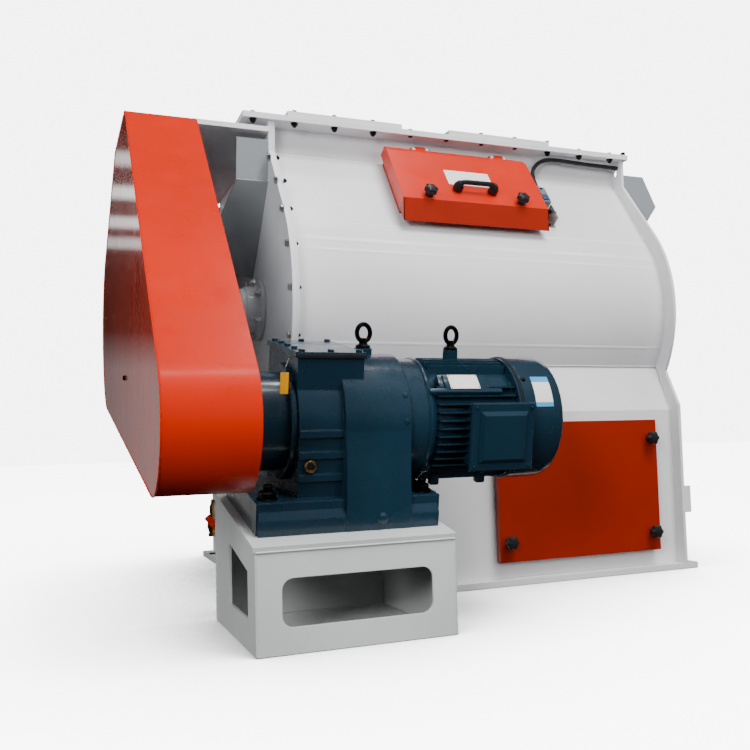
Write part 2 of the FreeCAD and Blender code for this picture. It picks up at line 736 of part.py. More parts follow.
def chain_path(idler_z):
    drive = (axis_y, axis_z)
    wheels = [(drive, pitch_radius(drive_teeth), -1), ((idler_y, idler_z), pitch_radius(idler_teeth), -1),
              ((shaft_y, shaft_z), pitch_radius(rotor_teeth), -1), ((-shaft_y, shaft_z), pitch_radius(rotor_teeth), 1)]
    pieces = []
    count = len(wheels)
    tangents = [common_tangent(wheels[i][0], wheels[i][1], wheels[(i + 1) % count][0], wheels[(i + 1) % count][1],
                               wheels[i][2], wheels[(i + 1) % count][2]) for i in range(count)]
    for i in range(count):
        pieces.append(("line", tangents[i][0], tangents[i][1]))
        centre, radius, side = wheels[(i + 1) % count]
        a0 = math.radians(angle_at(centre, tangents[i][1]))
        a1 = math.radians(angle_at(centre, tangents[(i + 1) % count][0]))
        sweep = (a1 - a0) * side % (2 * math.pi) * side
        pieces.append(("arc", centre, radius, a0, sweep))
    return pieces


def piece_length(piece):
    if piece[0] == "line":
        return math.hypot(piece[2][0] - piece[1][0], piece[2][1] - piece[1][1])
    return abs(piece[4]) * piece[2]


def path_length(idler_z):
    return sum(piece_length(p) for p in chain_path(idler_z))


def solve_idler(target):
    low, high = shaft_z + 150, guard_top_z
    for _ in range(40):
        mid = (low + high) / 2
        if path_length(mid) < target:
            low = mid
        else:
            high = mid
    return (low + high) / 2


chain_links = 2 * round(path_length(shaft_z + idler_rise) / chain_pitch / 2)
idler_z = solve_idler(chain_links * chain_pitch)


def point_on_path(pieces, distance):
    for piece in pieces:
        length = piece_length(piece)
        if distance <= length:
            share = distance / length
            if piece[0] == "line":
                p, q = piece[1], piece[2]
                return (p[0] + (q[0] - p[0]) * share, p[1] + (q[1] - p[1]) * share)
            return on_circle(*piece[1], piece[2], math.degrees(piece[3] + piece[4] * share))
        distance -= length
    return point_on_path(pieces, distance)


loop = chain_path(idler_z)
pins = [point_on_path(loop, k * chain_pitch) for k in range(chain_links)]


def sprocket(centre, teeth, bore, phase):
    # tooth gaps lie on the chain's rollers
    root = pitch_radius(teeth) - roller_radius - 1.5
    tip = pitch_radius(teeth) + 11
    step = 360.0 / teeth
    points = []
    for k in range(teeth):
        middle = phase + (k + 0.5) * step
        points += [on_circle(*centre, root, middle - step * 0.3), on_circle(*centre, tip, middle),
                   on_circle(*centre, root, middle + step * 0.3)]
    disc = slab(polygon_yz(points), chain_x - sprocket_t / 2, chain_x + sprocket_t / 2)
    return disc.cut(rod_x(chain_x - sprocket_t, chain_x + sprocket_t, *centre, bore))


def phase_of(centre, teeth):
    reach = pitch_radius(teeth) + 1
    for pin in pins:
        if math.hypot(pin[0] - centre[0], pin[1] - centre[1]) < reach:
            return angle_at(centre, pin)
    return 0.0


for node, centre, teeth, bore in (("drive_sprocket", (axis_y, axis_z), drive_teeth, output_radius),
                                  ("rotor_sprocket_front", (-shaft_y, shaft_z), rotor_teeth, shaft_radius),
                                  ("rotor_sprocket_rear", (shaft_y, shaft_z), rotor_teeth, shaft_radius),
                                  ("idler_sprocket", (idler_y, idler_z), idler_teeth, idler_radius + fit)):
    save(node, sprocket(centre, teeth, bore, phase_of(centre, teeth)))


link_end, link_half = 16.0, 19.0
plate_t = 5.0
inner_plate, outer_plate = 18.5, 24.0    # middle of each plate off the chain's plane


def link_plate(p, q, x):
    ty, tz = (q[0] - p[0]) / chain_pitch, (q[1] - p[1]) / chain_pitch
    points = []
    for u, v in ((-link_end, -1), (-link_end, 1), (chain_pitch + link_end, 1), (chain_pitch + link_end, -1)):
        points.append((p[0] + ty * u - tz * v * link_half, p[1] + tz * u + ty * v * link_half))
    return slab(polygon_yz(points), x - plate_t / 2, x + plate_t / 2)


def roller(p):
    points = [on_circle(*p, roller_radius, 90 * k) for k in range(4)]
    return slab(polygon_yz(points), chain_x - inner_plate, chain_x + inner_plate)


def chain():
    links = []
    for k in range(chain_links):
        p, q = pins[k], pins[(k + 1) % chain_links]
        if k % 2:
            links += [link_plate(p, q, chain_x + side * outer_plate) for side in (-1, 1)]
        else:
            plates = [link_plate(p, q, chain_x + side * inner_plate) for side in (-1, 1)]
            links.append(fuse(plates + [roller(p), roller(q)]))
    return links


save("drive_chain", chain())
back_face = guard_x1 - guard_back_t
idler_arm = rod_x(chain_x - 26, back_face, idler_y, idler_z, idler_radius)
foot_wide, foot_tall, foot_plate = 60.0, 90.0, 14.0
idler_foot = box(back_face - foot_plate, back_face, idler_y - foot_wide, idler_y + foot_wide,
                 idler_z - foot_tall, idler_z + foot_tall)
save("idler_bracket", fuse([idler_arm, idler_foot]))


# Motor stand, a welded box with a sloped top and windows
def slope_z(y):
    return stand_front_z + (y - stand_y0) * math.tan(math.radians(stand_angle))


def rounded_rect(x0, x1, z0, z1, r, y0, y1):
    solid = box(x0, x1, y0, y1, z0, z1)
    edges = [e for e in solid.Edges if abs(e.Vertexes[0].Y - e.Vertexes[1].Y) > 1]
    return solid.makeFillet(r, edges)


def stand_block(inset, low):
    drop = stand_top_t / gear_cos
    points = [(stand_y0 + inset, low), (stand_y0 + inset, slope_z(stand_y0 + inset) - drop),
              (stand_y1 - inset, slope_z(stand_y1 - inset) - drop), (stand_y1 - inset, low)]
    return slab(polygon_yz(points), stand_x0 + inset, stand_x1 - inset)


def motor_stand():
    body = stand_block(0, 0).cut(stand_block(stand_wall, -1))
    window = rounded_rect(window_x0, window_x1, window_z0, window_z1, window_r, stand_y0 - 1, stand_y0 + stand_wall + 1)
    side_points = [(side_y0, side_z0), (side_y0, side_z1), (side_y1, side_z2), (side_y1, side_z0)]
    side = slab(polygon_yz(side_points), stand_x0 - 1, stand_x0 + stand_wall + 1)
    return body.cut([window, side])


def tilted(shape):
    # from axes (x, a, b) about the motor axis into the machine frame
    turned = shape.copy()
    turned.rotate(V(0, 0, 0), X_AXIS, stand_angle)
    turned.translate(V(0, axis_y, axis_z))
    return turned


stand_len = (stand_y1 - stand_y0) / gear_cos
top_sheet = box(stand_x0 - 6, stand_x1 + 3, -gear_a - 4, stand_len - gear_a, -gear_b - stand_top_t, -gear_b)
tie_w, tie_z0, tie_t = 60.0, 90.0, 8.0
stand_ties = [box(x, x + tie_w, stand_y1, -skirt_y, tie_z0, tie_z0 + tie_t) for x in (stand_x1 - 235, stand_x1 - 95)]
save("motor_stand", [motor_stand(), tilted(top_sheet)] + stand_ties)


# Gear reducer housing with foot, ribs and helical ring section
def arch(x0, x1, r, low):
    return fuse([rod_x(x0, x1, 0, 0, r), box(x0, x1, -r, r, low, 0)])


def gear_housing():
    foot = box(foot_x0, foot_x1, -foot_half, foot_half, -gear_b, -gear_b + foot_t)
    slot = box(foot_x0 + pad_l, foot_x1 - pad_l, -foot_half - 1, foot_half + 1, -gear_b - 1, -gear_b + foot_arch)
    case = arch(case_x0, case_x1, case_radius, -gear_b + foot_t - 1)
    head = box(case_x0, cover_x1 - 6, -head_a0, head_a1, head_low, case_top)
    ring = arch(case_x1 - 1, ring_x1, ring_radius, -gear_b + foot_t - 1)
    boss = prism(V(boss_x, 0, ring_radius - 20), Z_AXIS, boss_h, 26, 8)
    ribs = [box(case_x0, case_x1, -case_radius - 8, -case_radius + 20, b - 9, b + 9) for b in rib_b]
    return fuse([foot.cut(slot), case, head, ring, boss] + ribs)


cover = box(case_x0 - 6, cover_x1, -head_a0 - 2, head_a1 + 6, case_top, case_top + 14)
save("reducer_housing", [tilted(gear_housing()), tilted(cover)])
hub = rod_x(guard_x1 + 12, case_x0, 0, 0, hub_radius)
save("output_hub", tilted(hub.cut(rod_x(guard_x1 - 1, case_x0 + 1, 0, 0, output_radius + fit))))
save("output_shaft", rod_x(shaft_end_x, case_x0 - fit, axis_y, axis_z, output_radius))
save("motor_adapter", tilted(rod_x(ring_x1, adapter_x1, 0, 0, adapter_radius)))


def motor_frame():
    core = [rod_x(adapter_x1, frame_x1, 0, 0, frame_core_r)]
    x0, x1 = foot_x1 + 2, frame_x1 - 20
    for k in range(-5, 6):
        reach = math.sqrt(frame_fin_r ** 2 - (k * fin_pitch) ** 2)
        core.append(box(x0, x1, -reach, reach, k * fin_pitch - fin_t / 2, k * fin_pitch + fin_t / 2))
    for k in range(-3, 4):
        reach = math.sqrt(frame_fin_r ** 2 - (k * fin_pitch) ** 2)
        core.append(box(x0, x1, k * fin_pitch - fin_t / 2, k * fin_pitch + fin_t / 2, -reach, reach))
    core.append(prism(V(motor_eye_x, 0, frame_core_r - 10), Z_AXIS, eye_pad_h, 22, 8))
    core.append(rod_x(frame_x1 - 14, frame_x1 + spigot, 0, 0, cowl_radius - cowl_wall - fit))
    core.append(box(tbox_x0 + 10, tbox_x1 - 28, -tbox_seat, -frame_core_r + 20, tbox_b0 + 6, tbox_b1 - 6))
    return fuse(core)


save("motor_frame", tilted(motor_frame()))


def fan_cowl():
    outer = rod_x(frame_x1 + fit, cowl_x1 - cowl_bevel, 0, 0, cowl_radius)
    cone = Part.makeCone(cowl_radius, cowl_radius - cowl_bevel, cowl_bevel, V(cowl_x1 - cowl_bevel, 0, 0), X_AXIS)
    inner = rod_x(frame_x1 - 1, cowl_x1 - cowl_bevel, 0, 0, cowl_radius - cowl_wall)
    mouth = [rod_x(cowl_x1 - cowl_bevel - 1, cowl_x1 + 1, 0, 0, cowl_mouth_r)]
    for k in range(3):
        bar = box(cowl_x1 - cowl_wall, cowl_x1, -4, 4, -cowl_mouth_r - 1, cowl_mouth_r + 1)
        bar.rotate(V(0, 0, 0), X_AXIS, 60 * k)
        mouth.append(bar)
    return fuse([fuse([outer, cone]).cut([inner, mouth[0]])] + mouth[1:])


save("fan_cowl", tilted(fan_cowl()))
fan_x0 = frame_x1 + 30
fan_x1 = fan_x0 + fan_blade_l + 4
fan_parts = [rod_x(frame_x1 + spigot + fit, fan_x0 + 1, 0, 0, motor_shaft_r), rod_x(fan_x0, fan_x1, 0, 0, fan_hub_r)]
for k in range(fan_blades):
    blade = box(fan_x0 + 2, fan_x0 + 2 + fan_blade_l, -2, 2, fan_hub_r - 8, cowl_radius - 20)
    blade.rotate(V(0, 0, 0), X_AXIS, 360 / fan_blades * k)
    fan_parts.append(blade)
save("motor_fan", tilted(fuse(fan_parts)))

# Terminal box on the motor's front side, with its lid
tbox = box(tbox_x0, tbox_x1, -tbox_face, -tbox_seat, tbox_b0, tbox_b1)
lid = box(tbox_x0 - 5, tbox_x1 + 5, -tbox_face - 12, -tbox_face, tbox_b0 - 5, tbox_b1 + 5)
save("terminal_box", [tilted(tbox), tilted(lid)])


# Eyebolts, oil plugs and foot bolts
def eyebolt(x, b):
    centre = V(x - eye_ring_t / 2, 0, b + eye_ring_r + 12)
    ring = prism(centre, X_AXIS, eye_ring_t, eye_ring_r, 12)
    ring = ring.cut(prism(centre - X_AXIS, X_AXIS, eye_ring_t + 2, eye_ring_r - 12, 12))
    ring.rotate(V(x, 0, 0), Z_AXIS, 60)
    return fuse([prism(V(x, 0, b), Z_AXIS, 16, 12, 8), ring])


eye_ring_r, eye_ring_t = 28.0, 12.0
sight_x, sight_b = case_x0 + 30, (rib_b[1] + rib_b[2]) / 2 + 1.5
drain_x, drain_b = boss_x, -ring_radius + 58
plugs = [prism(V(sight_x, -case_radius, sight_b), V(0, -1, 0), 12, 18, 6),
         prism(V(drain_x, -ring_radius, drain_b), V(0, -1, 0), 10, 15, 6)]
foot_bolt_in, foot_bolt_a = 35.0, 150.0
foot_bolts = [prism(V(x, a, -gear_b + foot_t), Z_AXIS, 18, 20, 6)
              for x in (foot_x0 + foot_bolt_in, foot_x1 - foot_bolt_in) for a in (-foot_bolt_a, foot_bolt_a)]
save("lifting_eyebolts", [tilted(eyebolt(boss_x, ring_radius - 20 + boss_h)),
                          tilted(eyebolt(motor_eye_x, frame_core_r - 10 + eye_pad_h))])
save("reducer_plugs_and_bolts", [tilted(s) for s in plugs + foot_bolts])

# Upper inspection door: collar on the shell, pressed box door, hinge, knobs
door_seat = door_face - door_depth
door_hole = (door_x0 + hatch_cut, door_x1 - hatch_cut, door_s0 + hatch_cut, door_s1 - hatch_cut)
collar = slope_box(door_x0 + frame_inset, door_x1 - frame_inset, door_s0 + frame_inset, door_s1 - frame_inset,
                   0, door_seat - fit)
save("upper_door_frame", collar.cut(slope_box(*door_hole, -1, door_face)))
door_outline = [(door_s0, door_seat), (door_s1, door_seat), (door_s1, door_face), (door_s0 + door_fold, door_face),
                (door_s0, door_face - door_fold_drop)]
door_ring = [slope_point(door_x0, s, d) for s, d in door_outline]
door_block = Part.Face(Part.Wire(Part.makePolygon(door_ring + door_ring[:1]))).extrude(V(door_x1 - door_x0, 0, 0))
door_hollow = slope_box(door_x0 + door_wall, door_x1 - door_wall, door_s0 + door_wall, door_s1 - door_wall,
                        door_seat + door_wall, door_face - door_fold_drop - door_wall)
door_back = slope_box(door_x0 + door_lip, door_x1 - door_lip, door_s0 + door_lip, door_s1 - door_lip,
                      door_seat - 1, door_seat + door_wall + 1)
hinge_s, hinge_d = door_s0 - 10.0, door_face - door_fold_drop - 9.0
hinge_pin_r = 6.0
knuckle_half = 9.0
knuckle_w = 40.0
hinge_x = (-180.0, 140.0)
knuckles = [slope_box(x, x + knuckle_w, hinge_s - knuckle_half, door_s0 + 1, hinge_d - knuckle_half,
                      hinge_d + knuckle_half) for x in hinge_x]
hinge_hole = Part.makeCylinder(hinge_pin_r + fit, door_x1 - door_x0, slope_point(door_x0, hinge_s, hinge_d), X_AXIS)
save("upper_door", fuse([door_block.cut([door_hollow, door_back])] + knuckles).cut(hinge_hole))
handle_s, handle_x0, handle_x1 = 225.0, -85.0, 52.0
grip_h, grip_t = 42.0, 16.0


def bridge_handle():
    # flat bridge: two feet and a raised grip, one bent outline
    x0, x1 = handle_x0 - grip_t / 2, handle_x1 + grip_t / 2
    outline = [(x0, 0), (x0, grip_h - 12), (x0 + 12, grip_h), (x1 - 12, grip_h), (x1, grip_h - 12), (x1, 0),
               (x1 - grip_t, 0), (x1 - grip_t, grip_h - grip_t), (x0 + grip_t, grip_h - grip_t), (x0 + grip_t, 0)]
    ring = [slope_point(x, handle_s - grip_t / 2, door_face + d) for x, d in outline]
    return Part.Face(Part.Wire(Part.makePolygon(ring + ring[:1]))).extrude(down * grip_t)


save("upper_door_handle", bridge_handle())


def fixed_hinge(x):
    # two cheeks on the neck with the pin between them
    pin = Part.makeCylinder(hinge_pin_r, knuckle_w + 4, slope_point(x - 2, hinge_s, hinge_d), X_AXIS)
    cheeks = []
    for cx in (x - fit - cheek_t, x + knuckle_w + fit):
        p = slope_point(cx, hinge_s, hinge_d)
        outline = [(p.y - 7, p.z - 5), (p.y - 7, p.z + 6), (-shell_neck, p.z + 12), (-shell_neck, p.z - 40)]
        cheeks.append(Part.Face(polygon_x(cx, outline)).extrude(V(cheek_t, 0, 0)))
    return fuse([pin] + cheeks)


cheek_t = 12.0


def polygon_x(x, points):
    ring = [V(x, y, z) for y, z in points]
    return Part.Wire(Part.makePolygon(ring + ring[:1]))


save("upper_door_hinge", [fixed_hinge(x) for x in hinge_x])


def star_knob(base, axis):
    # six-lobed head on a stud, axis pointing away from the door
    side = axis.cross(X_AXIS)
    side.normalize()
    ring = []
    for k in range(2 * knob_lobes):
        a = math.pi / knob_lobes * k
        r = knob_radius if k % 2 else knob_radius - 8
        ring.append(base + axis * knob_stand + (X_AXIS * math.cos(a) + side * math.sin(a)) * r)
    head = Part.Face(Part.Wire(Part.makePolygon(ring + ring[:1]))).extrude(axis * knob_height)
    return fuse([head, prism(base, axis, knob_stand + 2, 9, 8)])


knob_s = 268.0
for node, x in (("upper_knob_left", -205.0), ("upper_knob_right", 155.0)):
    save(node, star_knob(slope_point(x, knob_s, door_face), off))

# Lower access door with its raised frame on the skirt
low_seat = -skirt_y - low_frame_t
low_face = low_seat - low_door_t


def low_box(inset, y0, y1):
    return box(low_door_x0 + inset, low_door_x1 - inset, y0, y1, low_door_z0 + inset, low_door_z1 - inset)


low_frame = low_box(frame_inset, low_seat + fit, -skirt_y)
save("lower_door_frame", low_frame.cut(low_box(hatch_cut, low_seat - 1, -skirt_y + 1)))
low_hollow = low_box(door_wall, low_face + door_wall, low_seat - door_wall)
save("lower_door", low_box(0, low_face, low_seat).cut([low_hollow, low_box(door_lip, low_seat - door_wall - 1,
                                                                          low_seat + 1)]))
knob_in_x, knob_in_z = 32.0, 66.0
for node, x, z in (("lower_knob_tl", low_door_x0 + knob_in_x, low_door_z1 - knob_in_z),
                   ("lower_knob_tr", low_door_x1 - knob_in_x, low_door_z1 - knob_in_z),
                   ("lower_knob_bl", low_door_x0 + knob_in_x, low_door_z0 + knob_in_z),
                   ("lower_knob_br", low_door_x1 - knob_in_x, low_door_z0 + knob_in_z)):
    save(node, star_knob(V(x, low_face, z), V(0, -1, 0)))

# Door switch right of the upper door, on its foot plate
switch_x0, switch_x1, switch_s0, switch_s1 = 290.0, 330.0, 110.0, 200.0
switch_foot = slope_box(283, 330, 100, 290, 0, 8)
switch_body = slope_box(switch_x0, switch_x1, switch_s0, switch_s1, 7, 48)
save("door_switch", fuse([switch_foot, switch_body]))

# Switch cable: from the switch up behind the door's edge, then under the top flange
cable_r = 8.0
cable_start = slope_point((switch_x0 + switch_x1) / 2, switch_s0, 28)
cable_points = [cable_start, slope_point(cable_start.x, switch_s0 - 52, 28), V(318, -432, 1530),
                V(372, -430, 1574), V(460, -434, 1574), V(580, -436, 1568), V(inside, -436, 1568)]


def cord_tube(points, r):
    # straight runs joined by tangent arcs as large as the runs allow
    pieces, start = [], points[0]
    for before, corner, after in zip(points, points[1:], points[2:]):
        u, v = before - corner, after - corner
        trim = 0.45 * min(u.Length, v.Length)
        half_turn = (math.pi - u.getAngle(v)) / 2
        u.normalize()
        v.normalize()
        a, b = corner + u * trim, corner + v * trim
        inward = u + v
        inward.normalize()
        centre = corner + inward * (trim / math.sin(half_turn))
        section = Part.Face(Part.Wire(Part.Circle(a, u, r).toShape()))
        pieces.append(Part.makeCylinder(r, (a - start).Length, start, a - start))
        pieces.append(section.revolve(centre, (a - centre).cross(b - centre), 2 * math.degrees(half_turn)))
        start = b
    end = points[-1]
    pieces.append(Part.makeCylinder(r, (end - start).Length, start, end - start))
    return fuse(pieces)


save("switch_cable", cord_tube(cable_points, cable_r))

# Ball valve on a pipe stub low on the left end plate, with its butterfly handle
valve_x, valve_y, valve_z = -half - 70, 340.0, 172.0
pipe_z = 262.0
pipe_r, valve_r = 11.0, 17.0
valve_drop = 50.0
pipe = prism(V(-half, valve_y, pipe_z), V(-1, 0, 0), -half - valve_x, pipe_r, 8)
valve_body = prism(V(valve_x, valve_y, valve_z - valve_drop), Z_AXIS, pipe_z + pipe_r - valve_z + valve_drop, valve_r, 8)
save("ball_valve", fuse([pipe, valve_body]))
handle_t, handle_half, handle_reach, handle_stem = 8.0, 13.0, 45.0, 18.0
handle_turn = 50.0            # the butterfly stands askew, as in the photograph
stem_y = valve_y - valve_r - fit
wing = box(valve_x - handle_reach, valve_x + handle_reach, stem_y - handle_stem - handle_t, stem_y - handle_stem,
           valve_z - handle_half, valve_z + handle_half)
wing.rotate(V(valve_x, 0, valve_z), Y_AXIS, handle_turn)
save("valve_lever", fuse([wing, prism(V(valve_x, stem_y, valve_z), V(0, -1, 0), handle_stem + 2, 8, 8)]))
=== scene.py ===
import bmesh
import bpy
import json
import math
import random
from mathutils import Matrix, Vector


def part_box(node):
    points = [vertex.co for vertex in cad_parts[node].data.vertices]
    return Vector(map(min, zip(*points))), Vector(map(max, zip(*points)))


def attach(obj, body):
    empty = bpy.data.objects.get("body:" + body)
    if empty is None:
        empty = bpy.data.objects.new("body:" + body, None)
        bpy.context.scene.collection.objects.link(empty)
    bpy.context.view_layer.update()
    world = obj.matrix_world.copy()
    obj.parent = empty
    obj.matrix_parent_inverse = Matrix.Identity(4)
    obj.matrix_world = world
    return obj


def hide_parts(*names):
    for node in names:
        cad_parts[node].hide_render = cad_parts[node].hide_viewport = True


# Double shaft paddle mixer, the visual model. Lengths are millimetres in the CAD frame
# (X to the motor end, Y to the back, Z up) and become metres when a mesh is made.

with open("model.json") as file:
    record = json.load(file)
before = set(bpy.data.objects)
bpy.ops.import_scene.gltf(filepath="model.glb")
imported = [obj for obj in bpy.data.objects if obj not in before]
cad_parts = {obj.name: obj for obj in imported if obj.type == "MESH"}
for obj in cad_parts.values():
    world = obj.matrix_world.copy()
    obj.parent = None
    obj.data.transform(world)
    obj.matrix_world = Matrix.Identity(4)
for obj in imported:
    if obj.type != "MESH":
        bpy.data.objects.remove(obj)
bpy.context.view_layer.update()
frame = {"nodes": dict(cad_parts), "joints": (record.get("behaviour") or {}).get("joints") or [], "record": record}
nodes = frame["nodes"]
joints = {j["name"]: j for j in frame["joints"]}
MM = 0.001
X, Y, Z = Vector((1, 0, 0)), Vector((0, 1, 0)), Vector((0, 0, 1))
END_FACE = 725               # outer faces of the end plates, from the middle
SHAFT_Y, SHAFT_Z = 286, 965  # rotor shafts
dice = random.Random(7)


def low(node):
    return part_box(node)[0] / MM


def high(node):
    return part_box(node)[1] / MM


# Camera at the photograph's place
def add_camera():
    yaw, pitch, roll = math.radians(22.83), math.radians(3.84), math.radians(-1.62)
    look = Vector((math.sin(yaw) * math.cos(pitch), math.cos(yaw) * math.cos(pitch), math.sin(pitch)))
    level = Vector((math.cos(yaw), -math.sin(yaw), 0))
    rise = level.cross(look)
    right = level * math.cos(roll) + rise * math.sin(roll)
    up = rise * math.cos(roll) - level * math.sin(roll)
    data = bpy.data.cameras.new("camera")
    data.sensor_width = 36
    data.lens = 42.52
    data.shift_x, data.shift_y = -0.0594, 0.0077
    data.clip_end = 100
    camera = bpy.data.objects.new("camera", data)
    bpy.context.scene.collection.objects.link(camera)
    camera.matrix_world = Matrix((right, up, -look)).transposed().to_4x4()
    camera.location = (-1.417, -3.370, 0.490)
    bpy.context.scene.camera = camera


add_camera()


# Material nodes
def node(tree, kind, settings=(), **inputs):
    # inputs by name, or as i0, i1 ... by place; a socket is linked, a value is set
    made = tree.nodes.new("ShaderNode" + kind)
    for key, value in dict(settings).items():
        setattr(made, key, value)
    for key, value in inputs.items():
        socket = made.inputs[int(key[1:])] if key[1:].isdigit() else made.inputs[key.replace("_", " ")]
        if isinstance(value, bpy.types.NodeSocket):
            tree.links.new(value, socket)
        else:
            socket.default_value = value
    return made


def blended(tree, share, first, second):
    made = node(tree, "Mix", {"data_type": "RGBA"}, i0=share, i6=first, i7=second)
    return made.outputs[2]


def span(tree, value, low_in, high_in, low_out=0.0, high_out=1.0):
    made = node(tree, "MapRange", Value=value, From_Min=low_in, From_Max=high_in,
                To_Min=low_out, To_Max=high_out)
    return made.outputs[0]


def maths(tree, operation, first, second=0.0):
    return node(tree, "Math", {"operation": operation}, i0=first, i1=second).outputs[0]


def rgb(r, g, b):
    return (r, g, b, 1.0)


def shade(colour, share):
    return rgb(*(c * share for c in colour[:3]))


class Surface:
    """One Principled material with its coordinates and a rounded-edge normal."""

    def __init__(self, name, edge=2.0):
        self.material = bpy.data.materials.new(name)
        self.material.use_nodes = True
        self.tree = self.material.node_tree
        self.shader = self.tree.nodes["Principled BSDF"]
        self.coords = node(self.tree, "TexCoord").outputs["Object"]
        self.geometry = node(self.tree, "NewGeometry")
        self.round = node(self.tree, "Bevel", {"samples": 6}, Radius=edge * MM).outputs[0]
        self.normal = self.round

    def noise(self, scale, detail=3.0, stretch=None):
        coords = self.coords
        if stretch:
            coords = node(self.tree, "Mapping", Vector=coords, Scale=stretch).outputs[0]
        return node(self.tree, "TexNoise", Vector=coords, Scale=scale, Detail=detail).outputs[0]

    def set(self, socket, value):
        target = self.shader.inputs[socket]
        if isinstance(value, bpy.types.NodeSocket):
            self.tree.links.new(value, target)
        else:
            target.default_value = value

    def colour(self):
        return self.shader.inputs["Base Color"].links[0].from_socket

    def bump(self, height, strength, distance):
        made = node(self.tree, "Bump", Strength=strength, Distance=distance * MM, Height=height,
                    Normal=self.normal)
        self.normal = made.outputs[0]

    def wear(self, amount=1.0):
        # share of worn edge: where the rounded normal leaves the true one
        dot = node(self.tree, "VectorMath", {"operation": "DOT_PRODUCT"}, i0=self.round,
                   i1=self.geometry.outputs["Normal"]).outputs["Value"]
        edge = span(self.tree, dot, 0.97, 0.80)
        chipped = span(self.tree, self.noise(55, 5), 0.52, 0.66)
        return maths(self.tree, "MULTIPLY", maths(self.tree, "MULTIPLY", edge, chipped), amount)

    def done(self):
        self.set("Normal", self.normal)
        return self.material


def lined(tree, height, lines, core):
    # sum of level bands (level, half width, strength) that fade outside their core
    total = 0.0
    for level, width, power in lines:
        away = maths(tree, "ABSOLUTE", maths(tree, "SUBTRACT", height, level))
        total = maths(tree, "ADD", total, span(tree, away, width * core, width, power, 0.0))
    return total


def enamel(name, colour, rough=0.40, coat=0.10, shift=0.10, peel=0.10, waves=0.0, edge=2.0,
           chips=0.5, under=None):
    # sprayed paint: blotches, faint runs, worn edges, orange peel and, with waves, a buckled sheet
    s = Surface(name, edge)
    tree = s.tree
    blotch = span(tree, s.noise(2.6, 4), 0.36, 0.64)
    tone = blended(tree, blotch, colour, shade(colour, 1 - shift))
    runs = span(tree, s.noise(7, 4, (1.0, 1.0, 0.16)), 0.55, 0.75, 0.0, shift * 1.6)
    tone = blended(tree, runs, tone, shade(colour, 0.72))
    tone = blended(tree, s.wear(chips), tone, under or rgb(0.30, 0.28, 0.26))
    s.set("Base Color", tone)
    s.set("Roughness", span(tree, s.noise(11, 5), 0.35, 0.65, rough - 0.06, rough + 0.08))
    s.set("Coat Weight", coat)
    s.set("Specular IOR Level", 0.35)
    s.set("Coat Roughness", rough * 0.45)
    if waves:
        s.bump(s.noise(2.3, 1.5), waves, 14)
    s.bump(s.noise(150, 2), peel, 0.6)
    return s


PALE_GREY = rgb(0.74, 0.74, 0.76)
ORANGE = rgb(0.56, 0.016, 0.001)
BLUE = rgb(0.008, 0.027, 0.046)
# press-brake lines over the shells, painted as near-white highlight lines and bumped: height and half width in
# metres, strength
PRESS_LINES = ((1.218, 0.007, 1.0), (1.152, 0.011, 0.9), (1.113, 0.008, 0.6), (0.81, 0.007, 0.5),
               (1.497, 0.006, 0.8))


def body_paint():
    return enamel("body_enamel", PALE_GREY, rough=0.42, coat=0.05, shift=0.07, peel=0.06,
                  waves=0.05, chips=0.35).done()


def shell_paint():
    s = enamel("shell_enamel", PALE_GREY, rough=0.36, coat=0.08, shift=0.06, peel=0.06, waves=0.10,
               chips=0.35)
    tree = s.tree
    split = node(tree, "SeparateXYZ", Vector=s.coords).outputs
    broken = span(tree, s.noise(5, 2, (1.0, 0.2, 0.2)), 0.35, 0.6, 0.25, 1.0)
    # near-white bands along the press-brake lines, broken by noise: painted highlight
    lines = maths(tree, "MULTIPLY", lined(tree, split[2], PRESS_LINES, 0.0), broken)
    painted_bend_highlight = maths(tree, "MULTIPLY", lines, 0.95)
    s.set("Base Color", blended(tree, painted_bend_highlight, s.colour(), rgb(0.98, 0.98, 0.99)))
    s.bump(lines, 0.9, 4)
    return s.done()


def orange_paint():
    return enamel("orange_enamel", ORANGE, rough=0.34, coat=0.03, shift=0.12, peel=0.08,
                  waves=0.08, chips=0.5, under=rgb(0.35, 0.05, 0.02)).done()


def guard_paint():
    # orange enamel; the big end sheet, which faces -X, is painted darker red-brown as painted shade, with painted
    # vertical highlight streaks, and is glossier over a buckled sheet
    s = enamel("guard_enamel", ORANGE, rough=0.30, coat=0.03, shift=0.14, peel=0.05, waves=0.30,
               chips=0.6, under=rgb(0.38, 0.06, 0.02))
    tree = s.tree
    facing = node(tree, "SeparateXYZ", Vector=s.geometry.outputs["Normal"]).outputs[0]
    end = span(tree, facing, -0.75, -0.95)
    # darker red-brown base of the -X end sheet with lighter vertical streaks: painted shade and painted highlight
    # streaks
    painted_highlight_streak = span(tree, s.noise(6, 4, (1.0, 1.0, 0.12)), 0.3, 0.7)
    painted_end_shade = blended(tree, painted_highlight_streak, rgb(0.80, 0.060, 0.022), rgb(0.55, 0.045, 0.020))
    s.set("Base Color", blended(tree, end, s.colour(), painted_end_shade))
    s.set("Coat Weight", span(tree, end, 0.0, 1.0, 0.04, 1.0))
    s.set("Specular IOR Level", span(tree, end, 0.0, 1.0, 0.15, 0.35))
    s.set("Coat Roughness", 0.08)
    return s.done()


def cast_paint():
    # thick enamel on sand-cast iron
    s = enamel("cast_enamel", BLUE, rough=0.26, coat=0.30, shift=0.35, peel=0.0, edge=5.0,
               chips=0.15, under=rgb(0.05, 0.15, 0.2))
    s.bump(s.noise(38, 4), 0.28, 2.5)
    s.bump(s.noise(210, 2), 0.12, 0.5)
    return s.done()


def sheet_paint():
    return enamel("motor_enamel", BLUE, rough=0.20, coat=0.35, shift=0.22, peel=0.07, waves=0.03,
                  edge=2.5, chips=0.2, under=rgb(0.06, 0.18, 0.24)).done()


